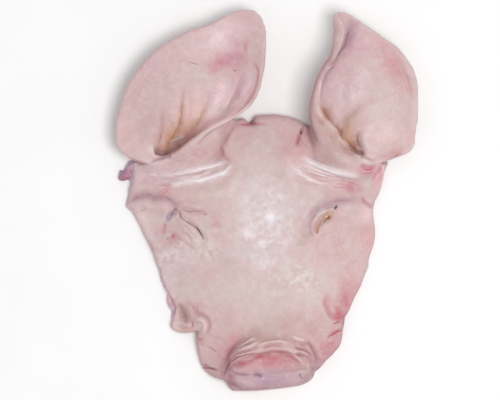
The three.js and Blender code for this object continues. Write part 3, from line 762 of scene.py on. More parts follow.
# Lines that the finish draws. A row is a Hairline's path, width, colour, strength, rise and taper.
FACE_HAIRLINES: tuple[Hairline, ...] = charted(Hairline, Zone.FACE, (
    # strands of the folds under the ears, whose white crests are partly painted highlights
    ("226,160 219,164 211,167.2 202,169.2 194,170.6 186,172.6", 1, FOLD_WHITE_AND_HIGHLIGHT, 0.9, 0.3),
    ("188,172 178,174 168,175.5 160,176.8", 0.6, FOLD_WHITE_AND_HIGHLIGHT, 0.7, 0.2),
    ("149,173 153,174.4 158,175.4", 1.2, FOLD_WHITE_AND_HIGHLIGHT, 0.6, 0.15),
    ("231,164 227,169.5 221,173.6 213,177 204,179.4 194,181.2 184,183", 1.3, FOLD_WHITE_AND_HIGHLIGHT, 0.95, 0.4),
    ("190,182 180,184 170,186.4", 0.5, FOLD_WHITE_AND_HIGHLIGHT, 0.6, 0.2),
    ("217,168.6 207,173 197,176.6 187,180.4 178,183", 0.45, "eee0e0", 0.7, 0.2),
    ("206,171.4 194,174.4 181,178.4 172,180", 0.4, "ead8d8", 0.55, 0.2),
    ("226,166 219,171 210,174.8", 0.4, "e2c4c4", 0.6, 0.15),
    ("222.8,148 223,153 224,158", 1.3, "bc747e", 0.7, -0.2),
    # Painted shade along the edge of the left ear's root.
    ("236,127 231,133 226.6,139.6 223,146.4 222.6,151 223.4,155", 0.4, "9e6c6e", 0.5, -0.2),
    ("224,156 226.4,158.6 229.6,161", 0.45, "aa8078", 0.6, -0.2),
    ("158,192 163,190.4 168,189", 0.6, "c4747c", 0.6),
    ("160,194.4 166,192 169,191.6", 0.5, "ba6870", 0.65),
    ("166,188 169,185 170,182", 0.4, "c88286", 0.5),
    ("302,155 311,162.6 323,168.8 337,173.2 350,176.4", 1.3, FOLD_WHITE_AND_HIGHLIGHT, 0.85, 0.35),
    ("305,155.4 314,161.6 326,166.6 340,170.4 352,173", 0.6, "f0e4e6", 0.7, 0.25),
    ("298,159 306,167.4 317,174 330,177.6 344,179.8", 0.5, "f0e2e2", 0.65, 0.2),
    ("290.6,162 297,171 307,178.2 318,183 329,185", 0.8, "f0e6e6", 0.75, 0.25),
    ("294,161 301,170 312,177.4 324,181", 0.35, "e2c4be", 0.6, -0.15),
    ("330,181 342,184 354,187.4", 0.6, "c8808a", 0.55),
    ("338,179 350,182 360,186", 0.5, "c67c86", 0.5),
    ("328,184.6 340,187.4 350,190", 0.5, "ce8c92", 0.5),
    ("361,168 368,170.4 375,168", 0.7, "c05c6a", 0.8, -0.3),
    ("359,172 367,173.6 374,172", 0.5, "c8707c", 0.7, -0.2),
    ("371,176.4 377,172 380.4,166", 0.5, "ce7682", 0.7, -0.2),
    ("374,180.4 379.6,175 383,168", 0.4, "f0bec6", 0.6, 0.15),
    ("376,184 381,178 384,171", 0.4, "d68a94", 0.6),
    # Painted shade in the right root's pit.
    ("302.6,129.6 301.2,132.4 300,135.6", 0.75, "4a2c34", 1, -0.4, 0.45),
    ("305.6,122 304,126 302.4,130", 0.6, "a07076", 0.6, -0.2),
    ("296,131 298,137 299,143 302,149", 0.9, "ce9296", 0.5, -0.15),
    ("305,140 306,146 310,151", 0.8, "c49294", 0.5, -0.15),
    ("300.4,134.4 299.2,137.4 298.4,140 297.4,145", 0.9, "c27676", 0.6, -0.15, 0.45),
    ("301,138 302,142 303,146", 0.7, "cc848c", 0.6, -0.1),
    # left eye: the bluish grey and the dark line of the inner lid fold are painted shadow
    ("174,211.6 171.4,214.4 168.8,217.6 166.4,221", 1.35, "acaec4", 0.8, 0.15, 0.45),
    ("178,207.4 175,209.4 173,211.4 171.6,214.6 169.6,217.6", 0.4, "60445c", 0.85, -0.3, 0.2),
    ("172.6,210.6 169.4,213.6 167,217.4 165.4,221.6 164.8,226", 0.35, "8a6c84", 0.7, -0.2),
    ("165.8,222 165.4,227 166.4,233", 0.9, "d48a96", 0.55, -0.1),
    ("177.6,208.4 180,212.6 181.2,216.6 184.6,220 190.4,223.8 195,226", 0.4, "806264", 0.8, -0.3, 0.12),
    ("181.6,213.6 183,217.2 186.6,220.2 190,222", 0.4, "f2e8e0", 0.9, 0.2),
    ("194,225.6 197.8,228.2 200.4,232 202,236", 0.6, DARK_LASH, 1, -0.35, 0.25),
    ("200.8,232.4 202.4,236.4 203.8,241", 0.5, "b0683c", 0.9),
    ("178.3,209.4 186,211 197,211.8 203,214", 0.4, "9a7686", 0.7, -0.2),
    ("182,206 192,208 203,211 211,211", 0.5, "ce969a", 0.5, -0.1),
    ("202,214 205.6,214.4 209,213.2", 0.8, "d27e8c", 0.7, 0, 0.4),
    ("184,225 188,227.4 190.4,231", 0.35, "b0928e", 0.6, -0.25),
    ("176,224 180,226.4 184,230", 0.35, "ac8c8a", 0.55, -0.25),
    ("185,234 190,237.6 193,243", 0.35, "b0928c", 0.55, -0.25),
    ("178,231 183,235 186,240", 0.35, "b89894", 0.5, -0.2),
    ("196,240 198,246 201,250", 0.35, "b89c96", 0.5, -0.2),
    ("173,236 178,238.4 184,243", 0.5, "ce808c", 0.6),
    ("173.4,238 176,241 180,246", 0.4, "ce848e", 0.55),
    ("164.4,226 163.6,231 165,235", 0.6, "c8848c", 0.6, -0.2),
    # right eye
    ("311,222 313.3,217.8 318.9,212.8 326.7,208.9 333.3,206.4 339,204.6", 0.5, "967a84", 0.65, -0.3, 0.2),
    ("330,203 337,201 345,199.8 354,199", 0.6, "b692a2", 0.55, -0.15),
    ("315,217 318.4,214 322.6,211.6 328.6,209.8", 0.7, "e8dade", 0.75, 0.2),
    ("310.4,224 310.6,230 311.6,235", 0.5, "b28e9a", 0.5, -0.2),
    # Painted shade in the dark gap of the right eye's slit.
    ("333.4,209.4 335.6,207.8 339,205.4", 1.2, "3a2a42", 1, -0.5, 0.4),
    ("332.6,215.4 329.4,218 325.6,221", 1.7, "c68254", 0.75, -0.1, 0.45),
    ("331,215.4 328.6,217.6 326.6,219.2 324,221.6", 0.6, "743e2a", 0.85, -0.2),
    ("321,221.6 318.6,226 317.4,230 316.8,234.6", 0.6, "ba7040", 0.85, -0.2, 0.2),
    ("317.6,230 317.2,232 317.4,234", 1.1, "be6c3a", 0.75, 0, 0.45),
    ("323,222.6 324.2,221.6 325.2,220.2", 0.8, "7c4a34", 0.8, 0, 0.5),
    ("327.6,219.4 329,218.6 330.4,216.6", 0.8, "8c5438", 0.8, 0, 0.5),
    ("325.4,217.6 326.7,216.7 328,216", 0.8, "f4eade", 0.85, 0.3, 0.5),
    ("329,214.4 330.2,213.8 331.6,213", 0.8, "f6ecdc", 0.85, 0.3, 0.5),
    ("314,236 313,240 309,243", 0.6, "c8a892", 0.5),
    ("308,238 303,243 297,247", 0.5, "c4a69c", 0.5, -0.15),
    # snout: the pale lines are painted highlights on the crests of its wrinkles, and the dark ones painted
    # shade in its furrows, under the hood and in the nostrils
    ("247,336 241,339.4 235,344.6 229.4,352 225.6,360 223.4,369 224.4,378", 0.7, "96686c", 0.45, -0.3),
    ("257.8,352.4 247.4,354 240,356 235.4,358.2 229,364.3 225.2,371 224.2,377",
     0.5, "844c5a", 0.8, -0.45, 0.12),
    ("244,343 249,340.4 254,336.6", 0.6, "e6d2ce", 0.6, 0.2),
    ("239,350 245,347.6 251,345.4 257,342 261,340", 0.65, "e6d0ce", 0.65, 0.2),
    ("234,356.2 240,353.8 247,352.2 253,350.2 258,350", 0.55, "debebe", 0.55, 0.2),
    ("236,352.4 243,350.4 250,348.2 256,345", 0.5, "a66c70", 0.5, -0.25),
    ("241,346 247,343.6 252,341", 0.5, "a87072", 0.5, -0.25),
    ("233,362 240,360 248,359.2 256,357", 0.5, "dcbab6", 0.6, 0.25),
    ("260.4,345 266,342.6 274,341.6 282,341 289,343", 0.6, "ead6d2", 0.65, 0.2),
    ("262,344.6 270,343 280,342.6 287,344.4", 0.4, "b08882", 0.6, -0.3),
    ("291,334.6 296.4,337.8 302,339.6 308,343", 0.6, "eee2e0", 0.75, 0.25),
    ("304,341 309.4,344 312.6,350 315,358 317,366", 0.5, "986c70", 0.5, -0.3),
    ("292,345.4 298,348.6 303.4,349.6 309,353 314,359", 0.45, "a06268", 0.6, -0.3),
    ("294,354.4 300,354.6 306,355.8 312,359.4", 0.4, "a66c72", 0.5, -0.25),
    ("289.4,346 291,351 296,355.6 301,360.4 304,366", 0.6, "dec6c2", 0.5, 0.2),
    ("306,364.4 308.4,367 307,370", 0.9, "e6d8ce", 0.6, 0.2),
    ("311,366 312.4,369.4 309.4,372", 0.8, "966e68", 0.6, -0.3),
    ("231,364 240,363.4 246,363.2 252,359.4 258,356.2 266,353.2 275,351.4 283,352.4 290,355.4 297,360.4 "
     "303,368", 0.6, "a65c64", 0.35, -0.15, 0.12),
    ("229.6,368 233,372 237.4,373.8 244,374.4 251,374", 0.5, "96687e", 0.75, -0.4),
    ("230.4,369.8 234,373.2 241,375.6", 0.4, "e8c2c8", 0.65, 0.2),
    ("252.6,373.8 257,374.2 260.4,375.4 262.4,377.8", 0.6, "8e667e", 0.55, -0.2),
    ("298.4,374.4 300.4,377 303,379.6", 0.4, "9c6a80", 0.6, -0.2),
    ("262,376.4 272,377 280,376.4", 0.5, "b092a2", 0.4, -0.1),
    # edges
    ("238,123.4 246,124.2 254,123.8 261,123", 1.2, "c06a76", 0.65, -0.2),
    ("197,338.4 200,339.6 203.6,338.2", 0.5, "a86064", 0.8, -0.5),
    ("199,344 202,345.4 205,344.8", 0.4, "be8282", 0.6, -0.3),
    ("208,346.4 212,349 217.4,352.4", 0.45, "966864", 0.85, -0.5),
    ("202,367.4 206,368.6 211,368.2 217,370.6", 0.6, "88585c", 0.9, -0.6, 0.2),
    ("205,370.4 210,370.2 216,372.4", 0.5, "debab8", 0.5, 0.3),
    ("140,212 143,210.4 147,208.8", 0.4, "b08282", 0.7, -0.3),
    ("128,215 134,213.4 141,211", 0.35, "be9292", 0.5, -0.2),
    ("129,206 132,208.6 137,211", 0.5, "be949e", 0.5, -0.2),
    ("329,338 333,334.6 338,331.6 342,331", 0.6, "b84a5a", 0.9, -0.4),
    ("332,325 337,323 342,321.6", 0.6, "b24454", 0.8, -0.4),
    ("333,318 338,318.6 344,316", 0.7, "ba505e", 0.6, -0.2),
    ("333,354 336,352.6 339,353.4", 0.5, "c46472", 0.7, -0.3),
    ("318,342 323,346 330,348", 0.6, "d08c90", 0.5, -0.2),
    ("170,306 173,311 177,315", 0.5, "c48c96", 0.6, -0.3),
    ("194.6,305 198,309 199,313", 0.5, "cc848c", 0.6, -0.2),
    ("191.4,321 193,324.4 192,328", 0.5, "a07072", 0.75, -0.4),
    ("180,318 182,322 181,327", 0.4, "e2cecc", 0.6, 0.2),
))

BOWL_HAIRLINES: tuple[Hairline, ...] = charted(Hairline, Zone.LEFT_BOWL, (
    ("160,133 160,139 157.6,146", 0.5, "a06858", 0.6, -0.25),
    ("182,100 181,114 178.4,126 172,138 166.6,150", 0.5, "a0704c", 0.6, -0.25),
    ("176,128 173,137 166,146", 0.8, "aa683c", 0.6),
    ("204,104 200,117 194,127", 0.6, "c49270", 0.5, -0.2),
    ("242,72 236,91 229,105 221,118", 0.6, "ba9096", 0.6, -0.3),
    ("247,61 253,63.4 257.4,69 257.8,77 255,88 250,99 242,108.6 231,118 220,126",
     0.9, "c87c8a", 0.6, -0.25),
    ("186.6,62.6 191,62.8 196,64 199.6,66", 0.4, "c06c7a", 0.8, -0.2),
    ("213,76 220,80 228,87", 0.3, "ce96a0", 0.5, -0.1),
    ("209,78 217,84 225,92", 0.3, "d098a2", 0.45, -0.1),
    ("212,86 218,90 223,95", 0.3, "ce929e", 0.45, -0.1),
    ("132,112 135,100 142,89 150,81", 0.5, "cc9a9a", 0.4, -0.1),
    ("128,122 131,110 137,98", 0.5, "ca9c9a", 0.4, -0.1),
    ("150,92 160,88 170,87", 0.35, "cea0a0", 0.35),
    ("166,52 178,46 190,40", 0.5, "d09c9e", 0.4),
    ("234.4,69.6 235,70.4 235.8,71.2", 0.8, "783c48", 0.9),
    # The ear canal's opening: brown skin deepened by painted shade of the hole.
    ("155,149 155.8,152.6 158,154.6 163,155 168,153.6 171,153.8", 0.9, "703c32", 0.85, -0.2),
    # Painted shadow along the rim's edge over the bowl.
    ("171,154.6 178,150 185,144 193,138", 0.8, "a06c62", 0.6, -0.1),
    ("152,145 152.6,150 154.4,156 160,157", 0.9, "f0dad8", 0.8, 0.3),
)) + charted(Hairline, Zone.RIGHT_BOWL, (
    # Painted shadow under the rolled edge at the right ear's tip.
    ("349,24 346.6,38 341.4,50 333,61.6", 1.1, "906c7c", 0.7, -0.5),
    ("333,62 326,69.4 320.6,79 317.8,90 317.4,101 319.6,112", 0.7, "9e888c", 0.8, -0.3),
    ("336,61 329.4,68 323,77 319.6,88 319,100", 0.5, "e8dee2", 0.7, 0.2),
    ("343,147 341,139 341.4,131 343.4,126", 0.7, "9c603e", 0.6, -0.25),
    ("358.4,134 357.6,139 359,145 363,150", 0.6, "9c6c62", 0.55, -0.3),
    # The right ear canal's opening: brown skin deepened by painted shade of the hole.
    ("354,153.4 358.4,154.6 363,155.4", 0.7, "603430", 0.8, -0.2),
    ("332,84 340,78 349,75", 0.4, "d496a4", 0.5),
    ("331,92 338,84 346,80", 0.4, "d69aa6", 0.5),
    ("330,78 339,70 348,66", 0.35, "d092a0", 0.45),
    ("356,120 362,110 370,103 380,98", 0.5, "c6aca4", 0.5, -0.2),
    ("364,104 370,99 377,98", 0.5, "dea2a8", 0.6),
    ("394,66 401,76 406,87 409,98", 0.6, "ce8c92", 0.6, -0.2),
    ("384,58 393,62 400,70", 0.6, "d09296", 0.5),
    ("386,160 394,157 401,153.6", 0.7, "b2545c", 0.7, -0.1),
    ("403,130 400,138 393,144", 0.6, "d6aaa6", 0.5),
    ("322,106 325,112 329,117.4", 0.9, "9c6442", 0.6, -0.2),
))

STRAND_BANDS: tuple[StrandBand, ...] = (
    StrandBand("236,160 224,168 209,173.5 190,177 166,180.5 148,180", 7.5, 1),
    StrandBand("288,158 298,168 312,174.5 332,178.5 358,179.5", 9, 1),
    StrandBand("382,162 380,172 376,184", 6, 0.9),
    StrandBand("208,150 192,158 172,164 146,169", 5, 0.35),
    StrandBand("316,138 330,152 348,163 366,168", 6, 0.3),
    StrandBand("236,352 246,347 256,343", 8, 0.35),
    StrandBand("290,345 300,350 312,356", 8, 0.35),
)

# Swellings, hollows and blushes. A row is a Patch's place across and down, half length, half
# breadth, colour, strength, turn, rise and crispness.
FACE_PATCHES: tuple[Patch, ...] = charted(Patch, Zone.FACE, (
    # broad tones
    (254, 134, 42, 12, "d8bebc", 0.6), (277, 119, 26, 5, "d8b8b8", 0.5), (292, 138, 14, 20, "d8b4b2", 0.6),
    (287, 152, 8, 10, "ce9a9d", 0.6), (264, 158, 26, 14, "d7c4be", 0.5), (228, 186, 22, 12, "dccec9", 0.5),
    # Here and in the next four lines, the pale forehead patch at 268, 214 and the near-white spots round it
    # are painted highlights, the sheen of the wet skin.
    (268, 214, 30, 36, "ddd5d4", 0.75), (246, 218, 7, 5, "eae2e4", 0.5), (270, 217, 5, 5, "faf7fb", 0.9),
    (249, 233, 8, 4.6, "f0eaed", 0.75), (262, 243, 5, 4.5, "f2eef0", 0.75),
    (263, 262, 9, 6, "ece5e7", 0.65), (288, 241, 5, 6, "eae2e4", 0.5), (290, 261, 5, 4, "e9e1e2", 0.5),
    (280, 196, 5, 4, "ece6e6", 0.5), (244, 200, 8, 7, "e8e0df", 0.6), (245, 254, 4, 8, "e4d6d8", 0.45),
    (268, 248, 3, 4, "d2c4be", 0.5), (250, 186, 8, 5, "e4dedd", 0.5), (262, 258, 20, 16, "ded4d4", 0.5),
    (226, 262, 7, 7, "c2b2b0", 0.5), (302, 232, 10, 16, "c8aea8", 0.5), (222, 262, 20, 22, "d5c0be", 0.4),
    (244, 290, 24, 18, "dacec7", 0.6), (196, 304, 14, 10, "dec6c5", 0.6), (218, 290, 16, 16, "dcccc8", 0.5),
    (167, 280, 9, 14, "e8d6da", 0.65, -20), (192, 270, 16, 5, "ceb2b0", 0.4),
    (300, 292, 30, 26, "d7c8bf", 0.6), (262, 300, 26, 14, "d6cac2", 0.5),
    (230, 318, 30, 18, "d4b6b4", 0.55), (316, 330, 10, 10, "caa6a4", 0.6),
    (330, 194, 10, 4, "c4a0a0", 0.55), (290, 324, 24, 11, "c4a4a0", 0.65), (270, 333, 24, 8, "cebab2", 0.5),
    (160, 240, 16, 36, "d9bdbb", 0.45, 18), (170, 262, 12, 12, "dec6c4", 0.4),
    (184, 264, 20, 13, "e6d2d2", 0.45), (216, 218, 7, 6, "d0acac", 0.5),
    (216, 223, 5.5, 3.5, "cc989c", 0.55), (216, 235, 4.5, 3, "cc989c", 0.5),
    (206, 226, 6, 12, "cebebe", 0.4, 10), (143, 221, 10, 18, "f0d8da", 0.7, -20),
    (163, 208, 5, 4, "deccce", 0.5), (176, 205, 5, 4.6, "b08a93", 0.7), (184, 236, 13, 13, "d2bcb6", 0.5),
    (184, 248, 10, 6, "d6c0b4", 0.35),
    # ear roots
    (190, 160, 36, 9, "d6b8b7", 0.5, -12), (200, 154, 12, 7, "cea0a4", 0.5, -20),
    (168, 163, 10, 5, "d4aaac", 0.4, -10), (150, 184, 22, 9, "dababa", 0.45),
    (140, 172, 12, 6, "d6babc", 0.5), (230, 134, 18, 6, "d4bab6", 0.5, -45),
    (216, 146, 6, 10, "d0acaa", 0.5, 25), (226, 127, 9, 4, "e2bebc", 0.5, -38),
    # The darker tone at 328, 146 is painted shade on the right root's slope, which faces away from the
    # light.
    (328, 146, 20, 16, "c8a69f", 0.75, 30), (324, 158, 9, 5, "c8a09c", 0.4, 25),
    (318, 146, 6, 10, "f0d0cf", 0.75), (284, 128, 9, 5, "e4babc", 0.5), (317, 135, 6, 16, "d8b8b6", 0.6),
    (300, 143, 6, 9, "d4a0a4", 0.6), (312, 102, 7, 24, "cea8a7", 0.6), (322, 66, 7, 16, "b89092", 0.7, 28),
    (336, 30, 4, 18, "c8acac", 0.5), (352, 164, 16, 5, "d6c0ba", 0.4), (332, 133, 10, 6, "be958a", 0.7, 45),
    (321, 122, 4, 7, "b07e70", 0.6, -40), (344, 147, 9, 4.4, "b2867a", 0.7, 42),
    # The dark spot at 351, 154 is brown skin deepened by painted shade at the right ear canal's opening.
    (351, 154, 7, 3.4, "96685c", 0.65, 32), (291, 170, 5, 9, "e2cac8", 0.45, -25),
    (137, 174, 11, 12, "eed4da", 0.65), (157, 173, 18, 9, "ecd4d9", 0.6, -6),
    (163, 160, 11, 4, "f4dada", 0.75, -14), (131, 179, 4, 8, "e2d2db", 0.8),
    # The spot at 223, 160 is painted shadow of the fold left of the left root's end.
    (371, 157.6, 9, 5, "fceeec", 0.9), (223, 160, 7, 6, "b28a84", 0.75), (134, 159, 3, 2, "cc7880", 0.5),
    # rashes and blushes
    (161, 192, 7, 3, "ce8a8e", 0.55), (167, 187, 6, 3.5, "d29c9e", 0.45),
    (336, 183, 15, 4.5, "d0989c", 0.75, 12), (352, 188, 10, 5, "c48691", 0.75, 14),
    (368, 214, 6, 8, "f2dbdd", 0.7), (327, 172, 15, 4, "faeeee", 0.75, 18),
    (369, 170, 13, 5, "d48892", 0.6), (381, 182, 5, 12, "e6bac0", 0.6), (379, 176, 5, 9, "e0a8af", 0.7),
    # The lilac at 344, 201 is painted shade above the right eye.
    (344, 201, 18, 6, "b08e96", 0.6, -10), (366, 190, 6, 8, "ceb6b4", 0.45),
    (350, 209, 7, 3, "deccd2", 0.5, -10), (342, 222, 16, 8, "d4bcba", 0.4),
    (366, 234, 6, 12, "da9ca0", 0.5, -10), (372, 238, 5, 22, "e0b0b2", 0.6),
    (358, 268, 14, 30, "dcb8b6", 0.5, 14), (350, 290, 10, 13, "d4989c", 0.65, 14),
    (344, 305, 9, 15, "c8808a", 0.8, 22), (339, 317, 6.5, 5, "c25c6a", 0.8),
    (330, 306, 4, 7, "d09698", 0.5), (326, 299, 3, 5, "cc7882", 0.5), (337, 334, 7, 7, "d09296", 0.65),
    (329, 350, 15, 11, "c6868e", 0.85, -46), (342, 240, 16, 20, "d4bfb9", 0.45),
    (172, 237, 7, 6, "d098a0", 0.5), (172.4, 236.2, 1.7, 1.5, "a03e58", 0.95, 0, 0, 1.6),
    (175, 236.6, 4, 3.4, "cc7688", 0.55), (167.6, 238.6, 1.5, 1.4, "b45c6e", 0.9, 0, 0, 1.6),
    (169.6, 235, 1.6, 2.4, "d6c4d4", 0.6), (172, 246, 8, 4, "d8acb0", 0.35),
    (176, 250, 9, 5, "deccd4", 0.35), (323, 219, 12, 6, "b89386", 0.65, -42),
    (331, 213, 4, 3, "c89660", 0.55, -30), (318, 238, 3, 2.4, "ccb498", 0.5),
    (306, 220, 4, 9, "dccecc", 0.45),
    # edges
    # The brownish spot at 184, 316 is painted shade in the hollow of the left jaw flap.
    (188, 312, 9, 11, "ceb2ac", 0.5), (184, 316, 4, 9, "b4968a", 0.5, 12),
    (180, 330, 6, 2.4, "d2a682", 0.6), (176, 328, 6, 3, "decece", 0.5), (203, 326, 4, 6, "e4d0d0", 0.6),
    (204, 350, 10, 16, "e2c0c0", 0.65), (224, 352, 6, 9, "e2babe", 0.6, 25),
    (201, 341, 4, 4, "ce8e90", 0.5), (212, 373, 14, 6, "be9496", 0.6, 30),
    (208, 378, 8, 4, "ce8c92", 0.45, 35), (222, 354, 7, 11, "d0a2a2", 0.5),
    (234, 340, 8, 6, "d08a8e", 0.6, -40), (128, 196, 4, 14, "d4bcc0", 0.5), (142, 203, 9, 3, "e2c2c6", 0.4),
    (198, 308, 7, 6, "d4a0a4", 0.4),
    # snout: the light spots at 246, 369, 247, 381 and 292, 378 are painted highlights on the disc
    (270, 342, 30, 9, "d4b6b2", 0.6), (256, 336, 12, 8, "c4a098", 0.6), (254, 330, 9, 5, "c4aaa0", 0.5),
    (246, 354, 12, 10, "c69896", 0.6), (243, 360, 9, 3, "cca6a4", 0.4), (304, 350, 12, 10, "c6a29c", 0.6),
    (298, 356, 7, 4, "b88c90", 0.5), (306, 366, 7, 5, "bea098", 0.6), (268, 362, 30, 6.5, "ca8e94", 0.95),
    (272, 357, 16, 4, "c47278", 0.85), (290, 362, 9, 5, "bc7c83", 0.6), (240, 366, 9, 4, "be7076", 0.75),
    (246, 369, 7, 2.6, "d4a49e", 0.5), (272, 380, 44, 7, "c5a6b4", 0.95),
    (276, 370, 18, 3.6, "c4a0b0", 0.5), (247, 381, 9, 4.5, "d8bec6", 0.75),
    (292, 378, 8, 3.2, "d4b2bc", 0.7), (272, 383, 14, 4, "b89cac", 0.5), (230, 373, 6, 12, "b8808a", 0.85),
    (230, 352, 5.6, 13, "ca9096", 0.6, 28), (235, 386, 10, 4, "9c6472", 0.85, 12),
    (254, 389, 24, 2, "b27884", 0.5, -3), (222, 372, 3, 10, "ac8086", 0.6),
    (310, 376, 8, 5, "b4929a", 0.7, -30), (256, 378, 5, 1.8, "ceb0bc", 0.5, 10),
    (319, 363, 5.6, 8, "b2828e", 0.75), (315, 368, 4, 5, "a47a86", 0.6),
))

BOWL_PATCHES: tuple[Patch, ...] = charted(Patch, Zone.LEFT_BOWL, (
    (150, 80, 34, 40, "d1b8b9", 0.5, 30), (218, 39, 22, 13, "f0dadc", 0.75, -30),
    (200, 46, 14, 8, "e0c2c4", 0.4, -25), (250, 28, 9, 20, "d6b4b8", 0.6), (238, 36, 6, 10, "ceb2ba", 0.4),
    (226, 62, 16, 8, "c88a98", 0.75), (212, 68, 8, 5, "c88693", 0.65), (238, 56, 8, 16, "c894a0", 0.6),
    (236, 84, 7, 14, "dcb4bc", 0.5), (246, 84, 6, 14, "eec8ce", 0.65, 15),
    (212, 109, 10, 14, "fee8ea", 0.85, 12), (230, 94, 9, 16, "f0ced2", 0.65, 25),
    (230, 105, 7, 8, "fce4e2", 0.7, 20), (199, 121, 19, 6, "fad8ce", 0.6, -30),
    (214, 124, 12, 5, "e8bac4", 0.8, -28), (188, 102, 14, 16, "e0c6c4", 0.55),
    (190, 114, 13, 8, "eed0ca", 0.75), (203, 116, 10, 8, "fadcd6", 0.8, -20),
    # The dark spots at 191, 139, 182, 141 and 177, 149 are painted shadow along the rim's edge over the
    # bowl.
    (246, 49, 2.6, 8, "ca7c8a", 0.5), (191, 139, 9, 3.2, "b47068", 0.75, -36),
    (191, 124, 10, 5, "e8c0ae", 0.7, -25), (186, 130, 9, 3, "ce9674", 0.7, -38),
    (178, 134, 14, 9, "ce9c80", 0.6, -30), (198, 130, 12, 3.4, "d69a90", 0.6, -32),
    (182, 141, 13, 5, "b68074", 0.75, -32), (169, 137, 4.5, 11, "c89668", 0.8, 22),
    # The dark spots at 164, 152.4, 158, 151 and 156.6, 150 are the ear canal's opening: brown skin deepened
    # by painted shade of the hole.
    (163, 147, 8, 5, "bc8060", 0.75), (164, 152.4, 9, 2.8, "844c40", 0.9),
    (158, 151, 3.4, 2.6, "6e3a32", 0.8), (163, 139, 3, 10, "deb8b2", 0.7, 8),
    (149, 149, 3.6, 6, "ecd6d4", 0.7, -20), (156.6, 150, 3.2, 4, "885046", 0.85),
    (162, 159, 10, 3.8, "feecea", 0.95, -16), (177, 149, 9, 3.2, "a47066", 0.7, -28),
    (122, 130, 9, 24, "d6b4b4", 0.5), (136, 148, 14, 8, "d4bab8", 0.45), (150, 120, 14, 24, "c6a8a8", 0.5),
    (138, 100, 10, 14, "ceb0b0", 0.4), (168, 66, 16, 10, "d5babc", 0.4),
)) + charted(Patch, Zone.RIGHT_BOWL, (
    (372, 104, 20, 34, "ddcdcb", 0.5), (384, 134, 22, 18, "f0dcd7", 0.8), (354, 88, 12, 18, "e6ced1", 0.5),
    # The purple grey at 353, 34 is painted shadow under the rolled edge at the tip.
    (374, 150, 10, 6, "ead8d6", 0.8, 12), (353, 34, 7, 18, "c4a0ac", 0.85, 15),
    (356, 50, 10, 10, "d4acb6", 0.6), (368, 44, 12, 10, "dcb8bc", 0.5),
    (394, 68, 9, 18, "ce9698", 0.7, -30), (384, 50, 16, 8, "d6aeb2", 0.55, 38),
    (404, 92, 6, 16, "d6b0ac", 0.5), (328, 90, 9, 22, "d4b6c0", 0.65), (340, 70, 9, 9, "ceacb4", 0.5),
    (342, 96, 8, 14, "dcc8cc", 0.5), (326, 115, 4.6, 9, "a86c48", 0.9, -30),
    (331, 104, 4.5, 8, "ceac96", 0.6), (335, 124, 6, 5, "d8b2b8", 0.4),
    (340, 132, 4, 10, "a06646", 0.85, -14), (348, 141, 5, 10, "b8865e", 0.85, -18),
    # The dark spots at 354, 153, 351, 151, 357, 152.4 and 362, 152.6 are the ear canal's opening: brown
    # skin deepened by painted shade of the hole.
    (354, 153, 7, 3.8, "6c3a2c", 0.9, 22), (370, 157.6, 8, 4, "fcece8", 0.85, 20),
    (338, 117, 6, 8, "ecced4", 0.6), (346, 122, 5, 10, "ccae94", 0.65),
    (351, 151, 6, 4, "8c5848", 0.85, 30), (326, 120, 5, 8, "a87258", 0.75, -40),
    (357, 152.4, 6, 2.4, "8a5446", 0.85, 14), (362, 152.6, 3.2, 2.6, "703c3c", 0.9, 35),
    (356, 145, 4, 4, "a06854", 0.7), (404, 112, 8, 22, "d8c4be", 0.4),
    (392, 154, 12, 4, "ce8e92", 0.55, -22), (396, 144, 14, 8, "d8b8b4", 0.45),
    (376, 112, 10, 8, "e2d6d4", 0.4),
))

# Where painted glints speckle the skin white, the sheen of the wet skin, and where fine veins show.
PAINTED_GLINTS: tuple[Patch, ...] = (
    Patch(266, 225, 30, 46), Patch(170, 255, 24, 20), Patch(205, 250, 14, 14), Patch(300, 280, 18, 16),
)
VEINED: tuple[Patch, ...] = (
    Patch(160, 75, 40, 30, zone=Zone.LEFT_BOWL), Patch(225, 75, 24, 34, zone=Zone.LEFT_BOWL),
    Patch(345, 78, 22, 26, zone=Zone.RIGHT_BOWL), Patch(395, 75, 18, 34, zone=Zone.RIGHT_BOWL),
    Patch(345, 250, 26, 40), Patch(328, 345, 18, 22), Patch(216, 226, 12, 20), Patch(160, 245, 20, 30),
    Patch(205, 340, 16, 26), Patch(190, 157, 34, 10), Patch(345, 184, 24, 8), Patch(379, 175, 8, 12),
)


# ---------------------------------------------------------------- shapes of the face


@dataclass(frozen=True)
class Mound:
    """A soft mound of the face in plan: its middle, its spreads and its height."""

    x: float
    y: float
    spread_x: float
    spread_y: float
    height: float


